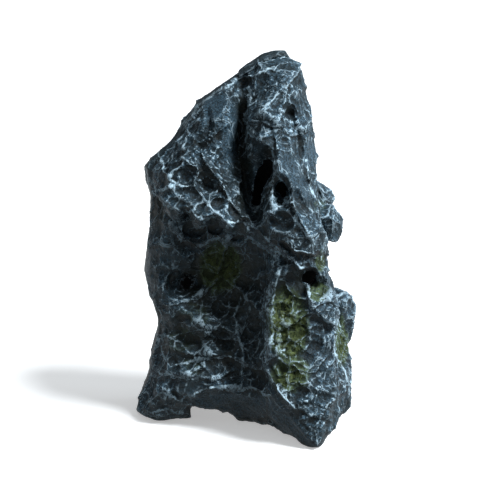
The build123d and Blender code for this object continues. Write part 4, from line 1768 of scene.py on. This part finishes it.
@dataclass
class CaveOrnament:
    """The whole ornament: castings, epoxy lines, stones, moss and pads."""

    kit: FinishKit = field(default_factory=FinishKit)
    relief: Relief = field(default_factory=Relief)

    def build(self) -> None:
        """Builds and dresses every piece."""
        slate = StoneFinish("painted_slate").build(self.kit)
        rear = StoneFinish("plain_slate", bloom=0.12, brush=0.4, roughness=0.55, tooth=0.7).build(self.kit)
        epoxy = StoneFinish("epoxy_line", bloom=0.3, brush=0.85, roughness=0.5, tooth=0.5).build(self.kit)
        moss = MossFinish().build(self.kit)
        tree = self.relief.tree(slate)
        pieces = CarvedRock(self.relief, tree, drift_tree(slate)).build()
        for node, piece in pieces.items():
            if node in BONDS:
                self.dress(piece, node, epoxy, Slot.EPOXY)
            elif node in ("rear_panel", "crag_rear"):
                self.dress(piece, node, rear, Slot.BARE)
            else:
                self.dress(piece, node, slate, Slot.SLATE)
        stones = (
            BondedStone("side_knob", self.relief, tree, stretch=(1.1, 1.2, 1.15), shift=(-1.0, 0.0, 1.0)),
            BondedStone("side_ledge", self.relief, tree, stretch=(1.0, 1.3, 1.6), shift=(-2.5, 0.0, -5.0)),
            BondedStone("rear_lump", self.relief, tree, stretch=(1.1, 1.3, 1.3)),
        )
        for stone in stones:
            self.dress(stone.build(), stone.node, slate, Slot.SLATE)
        calm = Relief(swell=1.0, large=0.5, medium=0.25, small=0.1, strata=0.0, grit=0.1)
        self.dress(BondedStone("crown_slab", calm, tree).build(), "crown_slab", rear, Slot.BARE)
        tufts = tuft_tree(moss)
        carriers = {"buttress_moss": "buttress", "recess_moss": "front_panel", "side_moss": "buttress"}
        for node, casting in carriers.items():
            self.dress(MossPad(node, pieces[casting], tufts, moss).build(), node, moss, Slot.MOSS)
        self.dress_pads()

    @staticmethod
    def dress(piece: bpy.types.Object, node: str, material: bpy.types.Material, slot: Slot) -> None:
        """Gives a piece its finish and its place in the model.

        Args:
            piece: The piece.
            node: The solid that it stands for.
            material: Its finish.
            slot: The record's slot of that finish. It is not used.
        """
        piece.data.materials.clear()
        piece.data.materials.append(material)
        piece.data.shade_smooth()
        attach(piece, BODY)
        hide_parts(node)
        piece.data.calc_loop_triangles()
        LOG.info("%s stands for %s: %d triangles", piece.name, node, len(piece.data.loop_triangles))

    @staticmethod
    def dress_pads() -> None:
        """Gives the foot pads their rubber."""
        rubber = RubberFinish().build()
        for name, node in frame["nodes"].items():
            if name.startswith("pad_"):
                for slot in node.material_slots:
                    slot.material = rubber
                LOG.info("%s keeps its solid", name)


# ---------------------------------------------------------------------------------------------------
# Studio
# ---------------------------------------------------------------------------------------------------


@dataclass(frozen=True)
class SoftLight:
    """A soft panel lamp aimed at the ornament. Its place and size are in metres."""

    name: str
    place: tuple[float, float, float]
    size: float
    power: float
    colour: tuple[float, float, float] = (1.0, 1.0, 1.0)

    def hang(self, aim: tuple[float, float, float]) -> None:
        """Hangs the lamp, facing the aim."""
        data = bpy.data.lights.new(self.name, "AREA")
        data.energy, data.size, data.color = self.power, self.size, self.colour
        set_up(self.name, data, Vector(self.place), Vector(aim) - Vector(self.place))


def set_up(name: str, data: bpy.types.ID, place: Vector, way: Vector) -> bpy.types.Object:
    """Sets a lamp or a camera in the scene.

    Args:
        name: Its name.
        data: Its light or its lens.
        place: Where it stands.
        way: The direction that it looks in.

    Returns:
        The object.
    """
    item = bpy.data.objects.new(name, data)
    item.location = place
    item.rotation_euler = way.to_track_quat("-Z", "Y").to_euler()
    bpy.context.scene.collection.objects.link(item)
    return item


@dataclass
class Studio:
    """A pale floor, soft lamps from above and the camera. Lengths are in metres.

    Attributes:
        lens: Focal length in millimetres.
        floor_tone: How pale the floor is.
        floor_reach: Half the floor's side.
        sky: Brightness of the air overhead.
        haze: Brightness of the air below the horizon.
        horizon: Brightness of the band along the horizon.
        horizon_ends: Heights at which that band starts and stops fading, where 1 is overhead.
        sun_power: Power of the large soft lamp that lights the floor evenly.
        sun_from: Direction that it shines from.
        sun_spread: Degrees that it spans.
        lamps: The other lamps.
    """

    lens: float = 95.6
    floor_tone: float = 0.9
    floor_reach: float = 60.0
    sky: float = 0.3
    haze: float = 0.03
    horizon: float = 0.9
    horizon_ends: tuple[float, float] = (0.03, 0.035)
    sun_power: float = 4.3
    sun_from: tuple[float, float, float] = (0.6, -0.42, 0.85)
    sun_spread: float = 16.0
    lamps: tuple[SoftLight, ...] = (
        SoftLight("side_panel", (0.9, 0.1, 0.6), 0.5, 3.0, (0.85, 0.93, 1.0)),
    )

    def build(self) -> None:
        """Builds the studio."""
        self.lay_floor()
        self.light_air()
        for lamp in self.lamps:
            lamp.hang((0.0, 0.0, 0.12))
        data = bpy.data.lights.new("broad_lamp", "SUN")
        data.energy, data.angle, data.color = self.sun_power, math.radians(self.sun_spread), (0.93, 0.97, 1.0)
        set_up("broad_lamp", data, Vector(), -Vector(self.sun_from))
        bpy.context.scene.view_settings.view_transform = "Standard"
        self.set_camera()

    def light_air(self) -> None:
        """Lights the air: bright overhead, dim below, and brightest in a narrow band along the horizon."""
        world = bpy.data.worlds.new("studio_air")
        world.use_nodes = True
        graph = Graph(world.node_tree)
        background = world.node_tree.nodes["Background"]
        split = graph.add("ShaderNodeSeparateXYZ", {0: graph.add("ShaderNodeTexCoord").outputs["Generated"]})
        ring = graph.remap(graph.math("ABSOLUTE", split.outputs["Z"]), *self.horizon_ends, self.horizon, 0.0)
        air = graph.remap(split.outputs["Z"], -0.2, 0.8, self.haze, self.sky)
        graph.put(background.inputs["Strength"], graph.most(air, ring))
        background.inputs["Color"].default_value = (0.9, 0.96, 1.0, 1.0)
        bpy.context.scene.world = world

    def set_camera(self) -> None:
        """Sets the camera at the front viewpoint."""
        data = bpy.data.cameras.new("front_camera")
        data.lens, data.sensor_width = self.lens, 36.0
        eye, aim = Vector(VIEW.eye()) * MM, Vector(VIEW.aim) * MM
        bpy.context.scene.camera = set_up("front_camera", data, eye, aim - eye)

    def lay_floor(self) -> None:
        """Lays the floor. It throws no light back up, so that the undersides stay dark."""
        reach = self.floor_reach
        mesh = bpy.data.meshes.new("pale_floor")
        corners = [(x * reach, y * reach, 0.0) for x, y in ((-1, -1), (1, -1), (1, 1), (-1, 1))]
        mesh.from_pydata(corners, [], [(0, 1, 2, 3)])
        mesh.materials.append(BackdropFinish("pale_paper", self.floor_tone).build())
        floor = new_object("pale_floor", mesh)
        floor.visible_diffuse = False


def main() -> None:
    """Builds the ornament and the studio."""
    logging.basicConfig(level=logging.INFO, format="%(name)s %(message)s", force=True)
    CaveOrnament().build()
    Studio().build()


if __name__ == "__main__":
    main()
